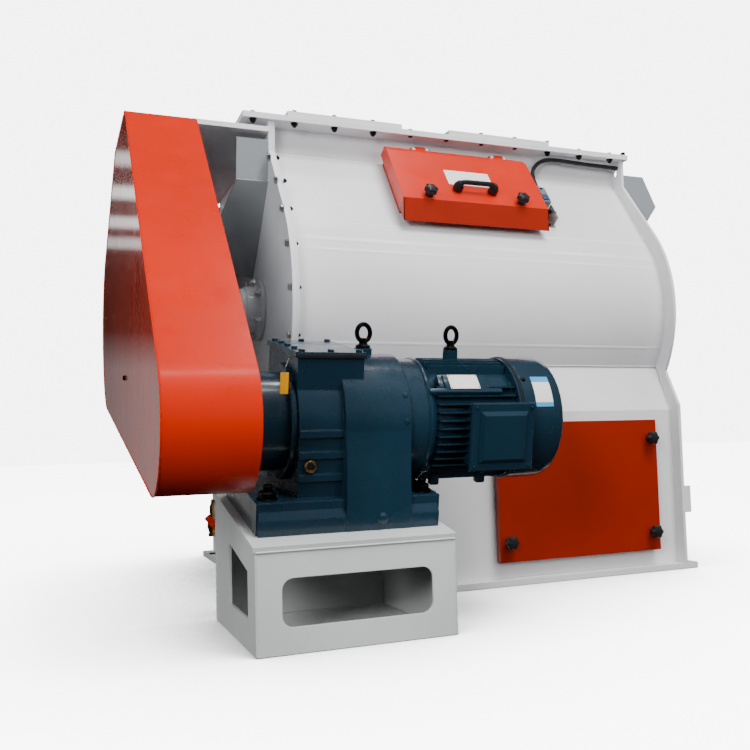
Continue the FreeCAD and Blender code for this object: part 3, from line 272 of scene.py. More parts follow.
def metal(name, colour, rough, edge=1.0, grain=None, shift=0.25):
    s = Surface(name, edge)
    spots = span(s.tree, s.noise(14, 5), 0.35, 0.7)
    s.set("Base Color", blended(s.tree, spots, colour, shade(colour, 1 - shift)))
    s.set("Metallic", 1.0)
    s.set("Roughness", span(s.tree, s.noise(30, 4), 0.3, 0.7, rough - 0.08, rough + 0.14))
    s.bump(s.noise(90, 3, grain), 0.12, 0.3)
    return s.done()


def plastic(name, colour, rough, shift=0.25):
    s = Surface(name, 1.0)
    spots = span(s.tree, s.noise(20, 4), 0.35, 0.7)
    s.set("Base Color", blended(s.tree, spots, colour, shade(colour, 1 + shift)))
    s.set("Roughness", span(s.tree, s.noise(60, 3), 0.3, 0.7, rough - 0.07, rough + 0.1))
    s.bump(s.noise(420, 2), 0.15, 0.15)
    return s.done()


ZINC = metal("zinc", rgb(0.60, 0.60, 0.60), 0.36)
STEEL = metal("turned_steel", rgb(0.50, 0.50, 0.51), 0.32, grain=(0.2, 1.0, 1.0))
WORN = metal("wear_plate", rgb(0.36, 0.34, 0.32), 0.48, shift=0.4)
DARK_STEEL = metal("black_oxide", rgb(0.035, 0.035, 0.038), 0.42)
ALUMINIUM = metal("anodised", rgb(0.74, 0.75, 0.77), 0.30)
CHROME = metal("chrome", rgb(0.86, 0.86, 0.88), 0.10, shift=0.03)
BRASS = metal("brass", rgb(0.72, 0.46, 0.17), 0.25)
BODY, SHELL, ORANGE_PAINT, GUARD = body_paint(), shell_paint(), orange_paint(), guard_paint()
CAST, SHEET = cast_paint(), sheet_paint()
# darker copy of the orange enamel: painted shade on the lower door, the upper door's frame and its hanging front
# edge
ORANGE_PAINTED_SHADE = enamel("orange_enamel_painted_shade", rgb(0.30, 0.012, 0.001), rough=0.34, shift=0.16, waves=0.08).done()
STAND = enamel("stand_enamel", rgb(0.60, 0.62, 0.62), rough=0.38, coat=0.15, shift=0.14, peel=0.08,
               waves=0.06, chips=0.8).done()
# lighter copy of the body's pale grey for the left end plate: painted light
END_PLATE_PAINTED_LIGHT = enamel("end_plate_enamel_painted_light", rgb(0.78, 0.79, 0.82), rough=0.42, coat=0.05, shift=0.10).done()
# darker grey than the body's paint for the gussets and their tops: painted shade
GUSSET_PAINTED_SHADE = enamel("gusset_grey_painted_shade", rgb(0.27, 0.285, 0.30), rough=0.45).done()
GUARD_BACK = enamel("guard_back_enamel", rgb(0.40, 0.40, 0.41), rough=0.45).done()
BEARING = enamel("bearing_enamel", rgb(0.56, 0.57, 0.59), rough=0.36, coat=0.2, shift=0.2, peel=0.25,
                 edge=3.0).done()
BLACK = plastic("black_plastic", rgb(0.012, 0.012, 0.013), 0.36)
RUBBER = plastic("cable_rubber", rgb(0.014, 0.014, 0.015), 0.62)
YELLOW = plastic("tag_plastic", rgb(0.78, 0.33, 0.0), 0.45, -0.12)
SWITCH_GREY = plastic("switch_body", rgb(0.12, 0.13, 0.15), 0.4)
SWITCH_BLUE = plastic("switch_key", rgb(0.015, 0.06, 0.14), 0.4)
PAPER = plastic("blank_sticker", rgb(0.80, 0.80, 0.78), 0.42, -0.06)
PLATE = plastic("blank_plate", rgb(0.82, 0.76, 0.72), 0.30, -0.10)
BAND = plastic("sticker_band", rgb(0.06, 0.32, 0.58), 0.42, -0.06)
GASKET = plastic("gasket", rgb(0.010, 0.012, 0.014), 0.7)

# finish of each material slot, then of the nodes that have one of their own
finishes = {
    "vessel_paint": BODY, "orange_paint": ORANGE_PAINT, "guard_back_paint": GUARD_BACK,
    "stand_paint": STAND, "drive_paint": CAST, "steel": STEEL, "wear_steel": WORN,
    "bearing_iron": BEARING, "aluminium": ALUMINIUM, "chrome_rod": CHROME, "brass": BRASS,
    "black_plastic": BLACK, "cable_rubber": RUBBER}
# the doors, the gussets and the left end plate take copies of the paint made darker or lighter: painted shade and
# painted light
own = {
    "trough_shell_front": SHELL, "trough_shell_rear": SHELL, "chain_guard": GUARD,
    "terminal_box": SHEET, "motor_frame": SHEET, "drive_chain": DARK_STEEL, "idler_bracket": STAND,
    "upper_door_frame": ORANGE_PAINTED_SHADE, "lower_door": ORANGE_PAINTED_SHADE, "gussets": GUSSET_PAINTED_SHADE, "end_plate_left": END_PLATE_PAINTED_LIGHT}
for part in frame["record"]["subparts"]:
    finish = own.get(part["node"], finishes[part["material_slot"]])
    mesh = nodes[part["node"]].data
    mesh.materials.clear()
    mesh.materials.append(finish)


# The vessel's front slope, from its neck line down
NECK = Vector((0, -400, 1503))
DOWN = Vector((0, -0.580205, -0.814470))
OFF = Vector((0, -0.814470, 0.580205))
DOOR_FACE = 82     # the upper door's face over the slope


def slope(x, s, d):
    # point s down the slope and d off it
    return NECK + X * x + DOWN * s + OFF * d


# Switch cable, on the points of its route in the CAD source
def add_cable():
    route = [slope(310, 110, 28), slope(310, 58, 28), Vector((318, -432, 1530)),
             Vector((372, -430, 1574)), Vector((460, -434, 1574)), Vector((580, -436, 1568)),
             Vector((713, -436, 1568))]
    curve = bpy.data.curves.new("switch_cord", "CURVE")
    curve.dimensions = "3D"
    curve.bevel_depth = 8 * MM
    curve.bevel_resolution = 6
    curve.resolution_u = 24
    curve.use_fill_caps = True
    spline = curve.splines.new("NURBS")
    spline.points.add(len(route) - 1)
    for point, place in zip(spline.points, route):
        point.co = (*(place * MM), 1)
    spline.order_u = 3
    spline.use_endpoint_u = True
    curve.materials.append(RUBBER)
    cable = bpy.data.objects.new("switch_cord", curve)
    bpy.context.scene.collection.objects.link(cable)
    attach(cable, "vessel")
    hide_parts("switch_cable")


add_cable()


# Mesh helpers: each adds to a bmesh, in millimetres
def axes(axis):
    # the axis and two directions square to it
    axis = axis.normalized()
    side = axis.cross(Z if abs(axis.z) < 0.9 else X).normalized()
    return axis, side, axis.cross(side)


def bridge(bm, one, two, closed=True):
    # faces between two rows of vertices, or between two rings
    count = len(one)
    for i in range(count if closed else count - 1):
        j = (i + 1) % count
        bm.faces.new((one[i], one[j], two[j], two[i]))


def skin(bm, rings, looped):
    # faces from ring to ring; the last ring meets the first, or both ends are capped
    for one, two in zip(rings, rings[1:]):
        bridge(bm, one, two)
    if looped:
        bridge(bm, rings[-1], rings[0])
    else:
        bm.faces.new(rings[0])
        bm.faces.new(rings[-1])


def slab(bm, one, two):
    # solid between two rings of points
    skin(bm, [[bm.verts.new(p) for p in ring] for ring in (one, two)], False)


def revolve(bm, base, axis, profile, count=40, looped=False, lobes=None, turn=0.0):
    # profile: (distance along the axis, radius); lobes(angle, distance) scales the radius
    axis, u, v = axes(axis)
    rings = []
    for along, radius in profile:
        ring = []
        for k in range(count):
            a = 2 * math.pi * k / count + turn
            r = radius * (lobes(a, along) if lobes else 1)
            ring.append(bm.verts.new(base + axis * along + (u * math.cos(a) + v * math.sin(a)) * r))
        rings.append(ring)
    skin(bm, rings, looped)


def round_profile(points, r, steps=3):
    # the profile with each inner corner rounded to about r
    out = [points[0]]
    for a, b, c in zip(points, points[1:], points[2:]):
        a, b, c = Vector(a), Vector(b), Vector(c)
        cut = min(r, (a - b).length * 0.45, (c - b).length * 0.45)
        p, q = b + (a - b).normalized() * cut, b + (c - b).normalized() * cut
        for k in range(steps + 1):
            t = k / steps
            out.append(tuple(p * (1 - t) ** 2 + b * 2 * t * (1 - t) + q * t ** 2))
    out.append(points[-1])
    return out


def sweep(bm, points, radius, count=12, closed=False):
    # round tube through the points; radius may be a function of the point's number
    points = [Vector(p) for p in points]
    turns = [2 * math.pi * k / count for k in range(count)]
    total = len(points)
    rings, u = [], None
    for i, p in enumerate(points):
        ahead = points[(i + 1) % total] if closed else points[min(i + 1, total - 1)]
        behind = points[i - 1] if closed else points[max(i - 1, 0)]
        along = (ahead - behind).normalized()
        u = axes(along)[1] if u is None else (u - along * u.dot(along)).normalized()
        v = along.cross(u)
        r = radius(i) if callable(radius) else radius
        rings.append([bm.verts.new(p + (u * math.cos(a) + v * math.sin(a)) * r) for a in turns])
    skin(bm, rings, closed)


def block(bm, lowest, highest, place, edge=2.0, steps=2):
    # box with rounded edges, its corners set in place by the function place
    part = bmesh.new()
    bmesh.ops.create_cube(part, size=1)
    for v in part.verts:
        v.co = Vector([lo + (c + 0.5) * (hi - lo) for c, lo, hi in zip(v.co, lowest, highest)])
    if edge:
        bmesh.ops.bevel(part, geom=part.edges[:], offset=edge, segments=steps, profile=0.5, affect="EDGES")
    copies = {v: bm.verts.new(place(*v.co)) for v in part.verts}
    for face in part.faces:
        bm.faces.new([copies[v] for v in face.verts])
    part.free()


def here(x, y, z):
    return Vector((x, y, z))


def hexagon(bm, base, axis, flats, height, turn=None):
    # six-sided head or nut, turned at random unless told
    r = flats / math.sqrt(3)
    turn = dice.uniform(0, 1) if turn is None else turn
    revolve(bm, base, axis, [(0, r), (height * 0.8, r), (height, r * 0.86)], 6, turn=turn)


def bolt(bm, base, axis, size, washer=True, stud=0.0):
    # hexagon head or nut on a washer, with the bolt's end standing out of a nut
    axis = axis.normalized()
    rise = 0.0
    if washer:
        rise = size * 0.17
        revolve(bm, base, axis, [(0, size * 1.08), (rise * 0.7, size * 1.08), (rise, size)], 24)
    hexagon(bm, base + axis * rise, axis, size * 1.6, size * 0.68)
    if stud:
        top = rise + size * 0.68
        end = [(-1, size / 2), (stud * 0.8, size / 2), (stud, size * 0.4)]
        revolve(bm, base + axis * top, axis, end, 14)


def bead(bm, points, width, count=8, closed=False):
    # hand-laid weld bead: a tube whose width ripples
    dense = []
    total = len(points)
    for i in range(total if closed else total - 1):
        a, b = Vector(points[i]), Vector(points[(i + 1) % total])
        steps = max(1, int((b - a).length / (width * 1.3)))
        dense += [a + (b - a) * k / steps for k in range(steps)]
    if not closed:
        dense.append(Vector(points[-1]))
    sweep(bm, dense, lambda i: width * dice.uniform(0.82, 1.12), count, closed)


def piece(name, bm, material, body="vessel", angle=35, replaces=()):
    # one named piece out of a bmesh, riding its body
    bmesh.ops.recalc_face_normals(bm, faces=bm.faces[:])
    bmesh.ops.scale(bm, vec=(MM, MM, MM), verts=bm.verts[:])
    mesh = bpy.data.meshes.new(name)
    bm.to_mesh(mesh)
    bm.free()
    mesh.materials.append(material)
    mesh.shade_smooth()
    mesh.set_sharp_from_angle(angle=math.radians(angle))
    made = bpy.data.objects.new(name, mesh)
    bpy.context.scene.collection.objects.link(made)
    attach(made, body)
    if replaces:
        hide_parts(*replaces)
    return made


SHELL_END, LIP = high("trough_shell_front").x, low("top_flange").z   # right end, underside
RIM_BACK = high("rim_flange_left").x
# rim bolts on the front half of the left end plate: y and z
RIM_BOLTS = [(-481, 1457), (-573, 1352), (-646, 1240), (-702, 1115), (-729, 972), (-706, 826),
             (-722, 660), (-722, 520), (-722, 380), (-722, 240), (-722, 100)]
LIP_BOLTS, LIP_BOLT_X, LIP_PITCH, LIP_BOLT_Y = 11, -778, 143.5, 466
DOOR_SWEEP = (-330, 300)     # stretch of the front lip that the opened upper door nears


# Bolts through the left rim flanges, the top flange and the covers
def add_vessel_bolts():
    bm = bmesh.new()
    rim_nuts_and_shaded_lip_nuts = bmesh.new()
    for y, z in RIM_BOLTS:
        for side in (1, -1):
            bolt(bm, Vector((-END_FACE, side * y, z)), -X, 12)
            bolt(rim_nuts_and_shaded_lip_nuts, Vector((RIM_BACK, side * y, z)), X, 9, washer=False, stud=4)
    cover_top = high("feed_inlet_flange").z
    plate_top = high("top_flange").z
    covers = [(low(n).x, high(n).x) for n in ("feed_inlet_flange", "inspection_cover")]
    for k in range(LIP_BOLTS):
        x = LIP_BOLT_X + LIP_PITCH * k
        for side in (-1, 1):
            # the nuts under the lip are black as painted shade of the flange's underside; the rim's inner nuts are
            # plain black steel
            under = Vector((x, side * LIP_BOLT_Y, LIP))
            if side < 0 and DOOR_SWEEP[0] < x < DOOR_SWEEP[1]:
                hexagon(rim_nuts_and_shaded_lip_nuts, under, -Z, 15, 3)
            else:
                bolt(rim_nuts_and_shaded_lip_nuts, under, -Z, 12, stud=5)
            top = cover_top if any(a < x < b for a, b in covers) else plate_top
            bolt(bm, Vector((x, side * LIP_BOLT_Y, top)), Z, 10, washer=False)
    a, b = covers[1]
    for k in range(6):
        for x in (a + 22, b - 22):
            bolt(bm, Vector((x, -350 + 140 * k, cover_top)), Z, 10, washer=False)
    for y in (-430, -215, 0, 215, 430):
        bolt(bm, Vector((-770, y, 1563)), Z, 12, washer=True)
    piece("vessel_bolts", bm, ZINC)
    piece("vessel_nuts", rim_nuts_and_shaded_lip_nuts, DARK_STEEL)


def outline(name, x):
    # convex outline of a node where it meets the plane at x
    points = sorted({(round(v.co.y / MM, 2), round(v.co.z / MM, 2)) for v in nodes[name].data.vertices
                     if abs(v.co.x / MM - x) < 0.1})

    def chain(run):
        out = []
        for p in run:
            while len(out) > 1 and ((out[-1][0] - out[-2][0]) * (p[1] - out[-2][1])
                                    - (out[-1][1] - out[-2][1]) * (p[0] - out[-2][0])) <= 0:
                out.pop()
            out.append(p)
        return out[:-1]
    return [Vector((x, y, z)) for y, z in chain(points) + chain(points[::-1])]


def add_gusset_tops():
    # upper ends of the left gussets, on the line of the CAD plates up to the bridge
    bm = bmesh.new()
    reach, thick = 108, 10
    for side in (1, -1):
        foot = Vector((-END_FACE, side * -443, 1388))
        head = Vector((-END_FACE, side * -463, 1519))
        across = Vector((0, side * 0.7, 0.714)) * thick
        ring = [foot, foot - X * reach, head - X * reach, head]
        slab(bm, ring, [p + across for p in ring])
    piece("gusset_tops", bm, GUSSET_PAINTED_SHADE)


def shell_section():
    # the shell's front half, top to bottom: neck, slope, round of the trough, skirt
    run = [(-400, 1588), (-400, 1503)]
    run += [(-400 - 0.5802 * s, 1503 - 0.81447 * s) for s in (60, 200, 330)]
    round_part = (math.radians(a) for a in range(146, 213, 6))
    run += [(-SHAFT_Y + 406 * math.cos(a), SHAFT_Z + 406 * math.sin(a)) for a in round_part]
    return run + [(-701, 577), (-701, 22)]


# Weld beads
def add_welds():
    bm = bmesh.new()
    bead(bm, outline("chain_guard", low("chain_guard").x), 2.2, 6, closed=True)
    piece("guard_seam", bm, GUARD)

    bm = bmesh.new()
    right, left = SHELL_END, RIM_BACK
    for x in (left + 1, right - 1):
        for side in (1, -1):
            bead(bm, [Vector((x, side * y, z)) for y, z in shell_section()], 3.2, 6)
    for side in (1, -1):
        for x0, y, z, width in ((left, 701, 22, 3.2), (-735, 401, LIP - 1, 3.0), (left, 629, 744, 2.5)):
            bead(bm, [Vector((x0, side * y, z)), Vector((right, side * y, z))], width, 6)
    for side in (1, -1):
        face = END_FACE + 1
        bead(bm, [Vector((-face, side * -443, 1388)), Vector((-face, side * -178, 1102))], 4.0, 8)
        bead(bm, [Vector((face, side * -442, 1190)), Vector((face, side * -442, 1540))], 4.0, 8)
    piece("vessel_welds", bm, BODY)

    bm = bmesh.new()
    for x in (-974, -466):
        for y, top in ((-1310, 238), (-792, 346)):
            bead(bm, [Vector((x, y, 2)), Vector((x, y, top))], 2.6, 6)
    bead(bm, [Vector((-974, -1312, 240)), Vector((-466, -1312, 240))], 3.0, 6)
    piece("stand_welds", bm, STAND)


# Flanged bearings
def add_bearings():
    shell = [(0, 46), (0, 110), (15, 110), (17, 100), (20, 84), (52, 80), (58, 80), (60, 74),
             (72, 72), (78, 66), (78, 47)]
    nipple = [(0, 6), (5, 6), (6, 3.5), (12, 3.5), (14, 4.5), (17, 3)]
    collar = [(0, 46), (0, 62), (16, 62), (16, 46)]
    bm = bmesh.new()
    fasteners = bmesh.new()
    collars = bmesh.new()
    for y in (-SHAFT_Y, SHAFT_Y):
        for out in (-1, 1):
            base, axis = Vector((END_FACE * out, y, SHAFT_Z)), X * out
            revolve(bm, base, axis, round_profile(shell, 4), 56, looped=True)
            for k in range(6):
                a = math.radians(60 * k + 30)
                arm = Vector((0, math.cos(a), math.sin(a)))
                bolt(fasteners, base + arm * 96 + axis * 15.5, axis, 14, stud=8)
                rib = base + arm * 80
                sweep(bm, [rib + axis * 14, rib + axis * 44 - arm * 3, rib + axis * 54 - arm * 10],
                      lambda i: (7, 6, 3)[i], 8)
            revolve(fasteners, base + axis * 46 + Z * 78, Z, nipple, 12)
            revolve(collars, base + axis * 78, axis, round_profile(collar, 2), 40, looped=True)
    piece("bearing_housings", bm, BEARING, replaces=("bearings",))
    piece("bearing_fasteners", fasteners, ZINC)
    piece("bearing_collars", collars, STEEL)


# The gear motor leans back round its axis: x along it, a towards the back, b up
AXIS_Y, AXIS_Z = (c / MM for c in joints["output_spin"]["pos_m"][1:])
LEAN = math.radians(12)


def tilt(x, a, b):
    return Vector((x, AXIS_Y + a * math.cos(LEAN) - b * math.sin(LEAN),
                   AXIS_Z + a * math.sin(LEAN) + b * math.cos(LEAN)))


def tilt_way(a, b):
    return Vector((0, a * math.cos(LEAN) - b * math.sin(LEAN), a * math.sin(LEAN) + b * math.cos(LEAN)))


MOTOR_UP, MOTOR_FRONT = tilt_way(0, 1), tilt_way(-1, 0)
DIAGONALS = (45, 135, 225, 315)


def around(x, radius, degrees):
    # point on a circle round the motor axis; 90 is up, 180 is the front
    a = math.radians(degrees)
    return tilt(x, radius * math.cos(a), radius * math.sin(a))


def outward(degrees):
    a = math.radians(degrees)
    return tilt_way(math.cos(a), math.sin(a))


def add_reducer_details():
    bm = bmesh.new()
    block(bm, (-853.4, -132.4, 179), (-674.6, 188.4, 190), tilt, 1.5, 2)
    piece("cover_gasket", bm, GASKET)

    bm = bmesh.new()
    cover_screws = [(x, a) for x in (-838, -763, -688) for a in (-112, 172)]
    cover_screws += [(-838, a) for a in (-40, 30, 100)]
    for x, a in cover_screws:
        bolt(bm, tilt(x, a, 193.5), MOTOR_UP, 10, washer=False)
    for k in range(10):
        bolt(bm, around(-850, 142, 18 + 36 * k), -X, 12, washer=False)
    for k in range(12):
        bolt(bm, around(-505, 156, 15 + 30 * k), X, 10, washer=False)
    piece("reducer_screws", bm, CAST)

    bm = bmesh.new()
    flange = [(0, 60), (0, 152), (16, 152), (16, 60)]
    revolve(bm, tilt(-866, 0, 0), X, round_profile(flange, 4), 64, looped=True)
    collar = [(0, 50), (0, 104), (12, 104), (12, 50)]
    revolve(bm, tilt(-980, 0, 0), X, round_profile(collar, 3), 48, looped=True)
    shield = [(0, 100), (0, 166), (8, 170), (14, 166), (30, 152), (30, 100)]
    revolve(bm, tilt(-506, 0, 0), X, round_profile(shield, 3), 64, looped=True)
    for degrees in DIAGONALS:
        lug = round_profile([(0, 20), (22, 20), (26, 16)], 2)
        revolve(bm, around(-505, 150, degrees), X, lug, 20)
    piece("reducer_flanges", bm, CAST)

    bm = bmesh.new()
    for degrees in DIAGONALS:
        bolt(bm, around(-479, 150, degrees), X, 12)
    piece("motor_flange_bolts", bm, DARK_STEEL)

    bm = bmesh.new()
    for x in (-922, -513):
        for a in (-150, 150):
            bolt(bm, tilt(x, a, -166.6), MOTOR_UP, 24, stud=16)
    piece("foot_bolts", bm, DARK_STEEL, replaces=("reducer_plugs_and_bolts",))

    glass = tilt(-820, -160, -85)
    bm = bmesh.new()
    ring = [(0, 9), (0, 16), (9, 16), (12, 14), (12, 10), (8, 9)]
    revolve(bm, glass, MOTOR_FRONT, round_profile(ring, 1.2), 32, looped=True)
    piece("sight_glass_ring", bm, BRASS)
    bm = bmesh.new()
    revolve(bm, glass, MOTOR_FRONT, [(0, 9), (7, 9), (8, 7)], 24)
    piece("sight_glass", bm, GASKET)

    bm = bmesh.new()
    plug = round_profile([(0, 16), (3, 16), (4, 12)], 1)
    revolve(bm, tilt(-637, -204, -217), MOTOR_FRONT, plug, 32)
    hexagon(bm, tilt(-637, -207, -217), MOTOR_FRONT, 22, 5, 0.3)
    for degrees in (150, 172, 198):
        revolve(bm, around(-561, 176, degrees) - X * 12, outward(degrees), [(0, 7), (3, 7), (4, 5)], 16)
    piece("reducer_plugs", bm, CAST)


# Cast apron in front of the gear ring, fillet over the foot and the web between its pads
def add_reducer_apron():
    bm = bmesh.new()
    foot = [(-174, -165.5), (-204, -208), (-204, -246), (-184, -246), (-184, -172)]
    apron = [(-177, 10), (-188, -90), (-204, -180), (-205.5, -246), (-160, -246), (-160, 10)]
    web = [(-189, -222), (-189, -246), (-150, -246), (-150, -222)]
    for profile, x0, x1 in ((apron, -733, -560), (foot, -954, -733), (foot, -560, -482), (web, -890, -545)):
        slab(bm, *([tilt(x, a, b) for a, b in profile] for x in (x0, x1)))
    casting = piece("reducer_apron", bm, CAST, angle=60)
    rounded = casting.modifiers.new("rounded", "BEVEL")
    rounded.width, rounded.segments, rounded.limit_method = 3 * MM, 3, "ANGLE"


def add_eyebolts():
    bm = bmesh.new()
    plane = X * 0.927 + Y * 0.375      # level direction in the plane of the rings
    collar = round_profile([(0, 20), (6, 20), (10, 12), (20, 9), (26, 8)], 3)
    for x, base in ((-640, 194), (-383, 192)):
        revolve(bm, tilt(x, 0, base), MOTOR_UP, collar, 28)
        centre = tilt(x, 0, base + 40)
        turns = [math.pi * k / 18 for k in range(36)]
        ring = [centre + (plane * math.cos(a) + MOTOR_UP * math.sin(a)) * 23 for a in turns]
        sweep(bm, ring, 6.2, 14, closed=True)
    piece("eyebolts", bm, DARK_STEEL, replaces=("lifting_eyebolts",))


# Cast pads, feet lugs and blank rating plate on the motor frame
def add_motor_pads():
    pad_angle = 133
    out, along = outward(pad_angle), outward(pad_angle - 90)
    centre = tilt(0, 0, 0)

    def on_pad(x, w, r):
        return centre + X * x + out * r + along * w

    bm = bmesh.new()
    block(bm, (-500, -44, 140), (-288, -30, 172), on_pad, 3)
    block(bm, (-466, -36, 140), (-320, 20, 166), on_pad, 3)
    block(bm, (-453, -35, 160), (-335, 15, 173), on_pad, 2)
    for x in (-440, -300):
        for shift in (60, -60):
            block(bm, (x - 14, -12, -174), (x + 14, 12, -140),
                  lambda p, q, r: tilt(p, q + shift, r), 6, 3)
    piece("motor_pads", bm, SHEET)
    bm = bmesh.new()
    block(bm, (-439, -34, 173), (-353, 13, 174.2), on_pad, 0.5, 1)
    piece("motor_plate", bm, PLATE)
    bm = bmesh.new()
    for x in (-435, -357):
        for w in (-30, 9):
            revolve(bm, on_pad(x, w, 174), out, [(0, 2.2), (1, 2), (1.6, 1)], 12)
    piece("motor_plate_rivets", bm, ZINC)


# Cowl with rounded end, open mouth and ring grille, and the blank sticker on it
def add_cowl():
    wall = [(0, 171), (0, 174), (96, 174), (118, 168), (129, 154), (132, 140), (132, 124),
            (129, 124), (128, 140), (124, 152), (114, 163), (95, 171)]
    bm = bmesh.new()
    revolve(bm, tilt(-225, 0, 0), X, round_profile(wall, 5, 3), 96, looped=True)
    for r in (20, 38, 56, 74, 92, 110, 124):
        sweep(bm, [around(-95, r, 6 * k) for k in range(60)], 1.9, 8, closed=True)
    for k in range(6):
        sweep(bm, [around(-98, 18, 60 * k + 30), around(-98, 128, 60 * k + 30)], 2.6, 8)
    revolve(bm, tilt(-99, 0, 0), X, [(0, 21), (4, 21), (5, 18)], 32)
    piece("cowl_with_grille", bm, SHEET, replaces=("fan_cowl",))
    # black ring in the gap between the cowl and the motor: painted shade
    bm = bmesh.new()
    revolve(bm, tilt(-232, 0, 0), X, [(0, 165), (0, 172.5), (10, 172.5), (10, 165)], 80, looped=True)
    piece("cowl_gap_painted_shade", bm, GASKET)
    bm = bmesh.new()
    for degrees in (44, 134, 224, 314):
        revolve(bm, around(-214, 173, degrees), outward(degrees), [(0, 7), (2.5, 6.5), (4.5, 3.5)], 16)
    piece("cowl_screws", bm, DARK_STEEL)

    def stuck_on(bm, radius, angles):
        grid = [[bm.verts.new(around(x, radius, a)) for a in angles] for x in range(-191, -136, 9)]
        for one, two in zip(grid, grid[1:]):
            bridge(bm, one, two, closed=False)

    bm = bmesh.new()
    stuck_on(bm, 174.6, range(131, 161, 2))
    piece("cowl_sticker", bm, PAPER)
    bm = bmesh.new()
    stuck_on(bm, 174.9, range(131, 138, 2))
    stuck_on(bm, 174.9, range(157, 162, 2))
    piece("cowl_sticker_bands", bm, BAND)


# Lid screws, raised panel and cable glands of the terminal box
def add_terminal_lid():
    bm = bmesh.new()
    for x in (-388, -226):
        for b in (-96, 61):
            revolve(bm, tilt(x, -200, b), MOTOR_FRONT, [(0, 4.5), (2.5, 4.5), (4, 3)], 16)
    rings = []
    for a, inset in ((-199, 16), (-203, 17), (-211, 27)):
        x0, x1, b0, b1 = -394 + inset, -220 - inset, -103 + inset, 68 - inset
        corners = [(x0, b0), (x1, b0), (x1, b1), (x0, b1)]
        rings.append([bm.verts.new(tilt(x, a, b)) for x, b in corners])
    for one, two in zip(rings, rings[1:]):
        bridge(bm, one, two)
    bm.faces.new(rings[-1])
    piece("terminal_lid", bm, SHEET)
    bm = bmesh.new()
    gland = round_profile([(0, 5), (0, 6.5), (10, 6.5), (12, 5)], 1)
    for x in (-352, -262):
        revolve(bm, tilt(x, -181, -104), tilt_way(0, -1), gland, 20)
    piece("terminal_glands", bm, BLACK)


# Blank yellow tag on its wire
def add_tag():
    bm = bmesh.new()
    block(bm, (-898, -145, 92), (-877, -143, 145), tilt, 0.8, 1)
    piece("seal_tag", bm, YELLOW)
    bm = bmesh.new()
    wire = [(-888, -145, 141), (-885, -143, 158), (-872, -120, 176), (-856, -96, 178)]
    sweep(bm, [tilt(*place) for place in wire], 1.3, 6)
    piece("seal_wire", bm, ZINC)


# Star knobs; each replaces a CAD knob and turns with it
def add_knob(name, node_name, body, base, axis):
    def lobes(angle, along):
        grown = min(1.0, max(0.0, (along - 12) / 6))
        return 1 + 0.10 * grown * math.cos(6 * angle)

    bm = bmesh.new()
    head = [(0.4, 15), (3, 15), (4, 11), (11, 11), (13, 17), (18, 22), (25, 23.2), (31, 22), (35, 17),
            (37, 10), (37.4, 4)]
    revolve(bm, base, axis, round_profile(head, 2.5, 3), 60, lobes=lobes)
    piece(name, bm, BLACK, body, angle=50, replaces=(node_name,))


def add_knobs():
    for name, x in (("left", -205), ("right", 155)):
        add_knob("star_knob_" + name, "upper_knob_" + name, "knob_u" + name[0],
                 slope(x, 268, DOOR_FACE), OFF)
    lo, hi = low("lower_door"), high("lower_door")
    left, right, bottom, top = lo.x + 32, hi.x - 32, lo.z + 66, hi.z - 66
    for corner, x, z in (("tl", left, top), ("tr", right, top), ("bl", left, bottom),
                         ("br", right, bottom)):
        add_knob("star_knob_" + corner, "lower_knob_" + corner, "knob_" + corner,
                 Vector((x, lo.y, z)), -Y)


def add_bridge_handle():
    s, left, right = 225, -85, 52
    arch = [(left, 2), (left, 12), (-84, 22), (-80, 31), (-71, 35), (-58, 36), (-16, 36), (26, 36),
            (39, 35), (48, 31), (51, 22), (right, 12), (right, 2)]
    foot = round_profile([(0, 16), (8, 19), (21, 18), (30, 13), (36, 9)], 3)
    bm = bmesh.new()
    sweep(bm, [slope(x, s, DOOR_FACE + d) for x, d in arch], 9, 16)
    for x in (left, right):
        revolve(bm, slope(x, s, DOOR_FACE), OFF, foot, 28)
    piece("bridge_handle", bm, BLACK, "upper_hatch", 50, replaces=("upper_door_handle",))


# Hanging front edge of the upper door, over the CAD door's own flange
def add_door_front_edge():
    bm = bmesh.new()
    lo, hi = low("upper_door"), high("upper_door")
    edge, back, thick = slope(0, 290, DOOR_FACE), slope(0, 290, 32), 2.5
    foot = edge - Z * 80
    sheet = [edge, foot, foot + Y * thick, edge + Y * thick]
    cheek = [edge, foot, back]
    for ring, x0, x1 in ((sheet, lo.x, hi.x), (cheek, lo.x, lo.x + thick), (cheek, hi.x - thick, hi.x)):
        slab(bm, *([Vector((x, p.y, p.z)) for p in ring] for x in (x0, x1)))
    piece("upper_door_front_edge", bm, ORANGE_PAINTED_SHADE, "upper_hatch")


# Blank label, hinge pins and seal of the upper door
def add_door_trim():
    bm = bmesh.new()
    block(bm, (-108, 117, DOOR_FACE - 0.5), (69, 196, DOOR_FACE + 0.5), slope, 0.4, 1)
    piece("door_sticker", bm, PAPER, "upper_hatch")
    bm = bmesh.new()
    hinge = [c / MM for c in joints["upper_door_swing"]["pos_m"][1:]]
    for x in (-180, 140):
        for end, way in ((x - 13, -X), (x + 53, X)):
            revolve(bm, Vector((end, *hinge)), way, [(0, 8), (3, 8), (5, 5)], 16)
    piece("hinge_pin_heads", bm, ORANGE_PAINT)
    bm = bmesh.new()
    x0, x1, s0, s1 = -297, 254, 6, 282
    for strip in ((x0, x1, s0, s0 + 6), (x0, x1, s1 - 6, s1), (x0, x0 + 6, s0, s1), (x1 - 6, x1, s0, s1)):
        block(bm, (strip[0], strip[2], 27), (strip[1], strip[3], 33), slope, 1.5, 1)
    piece("upper_door_seal", bm, GASKET)


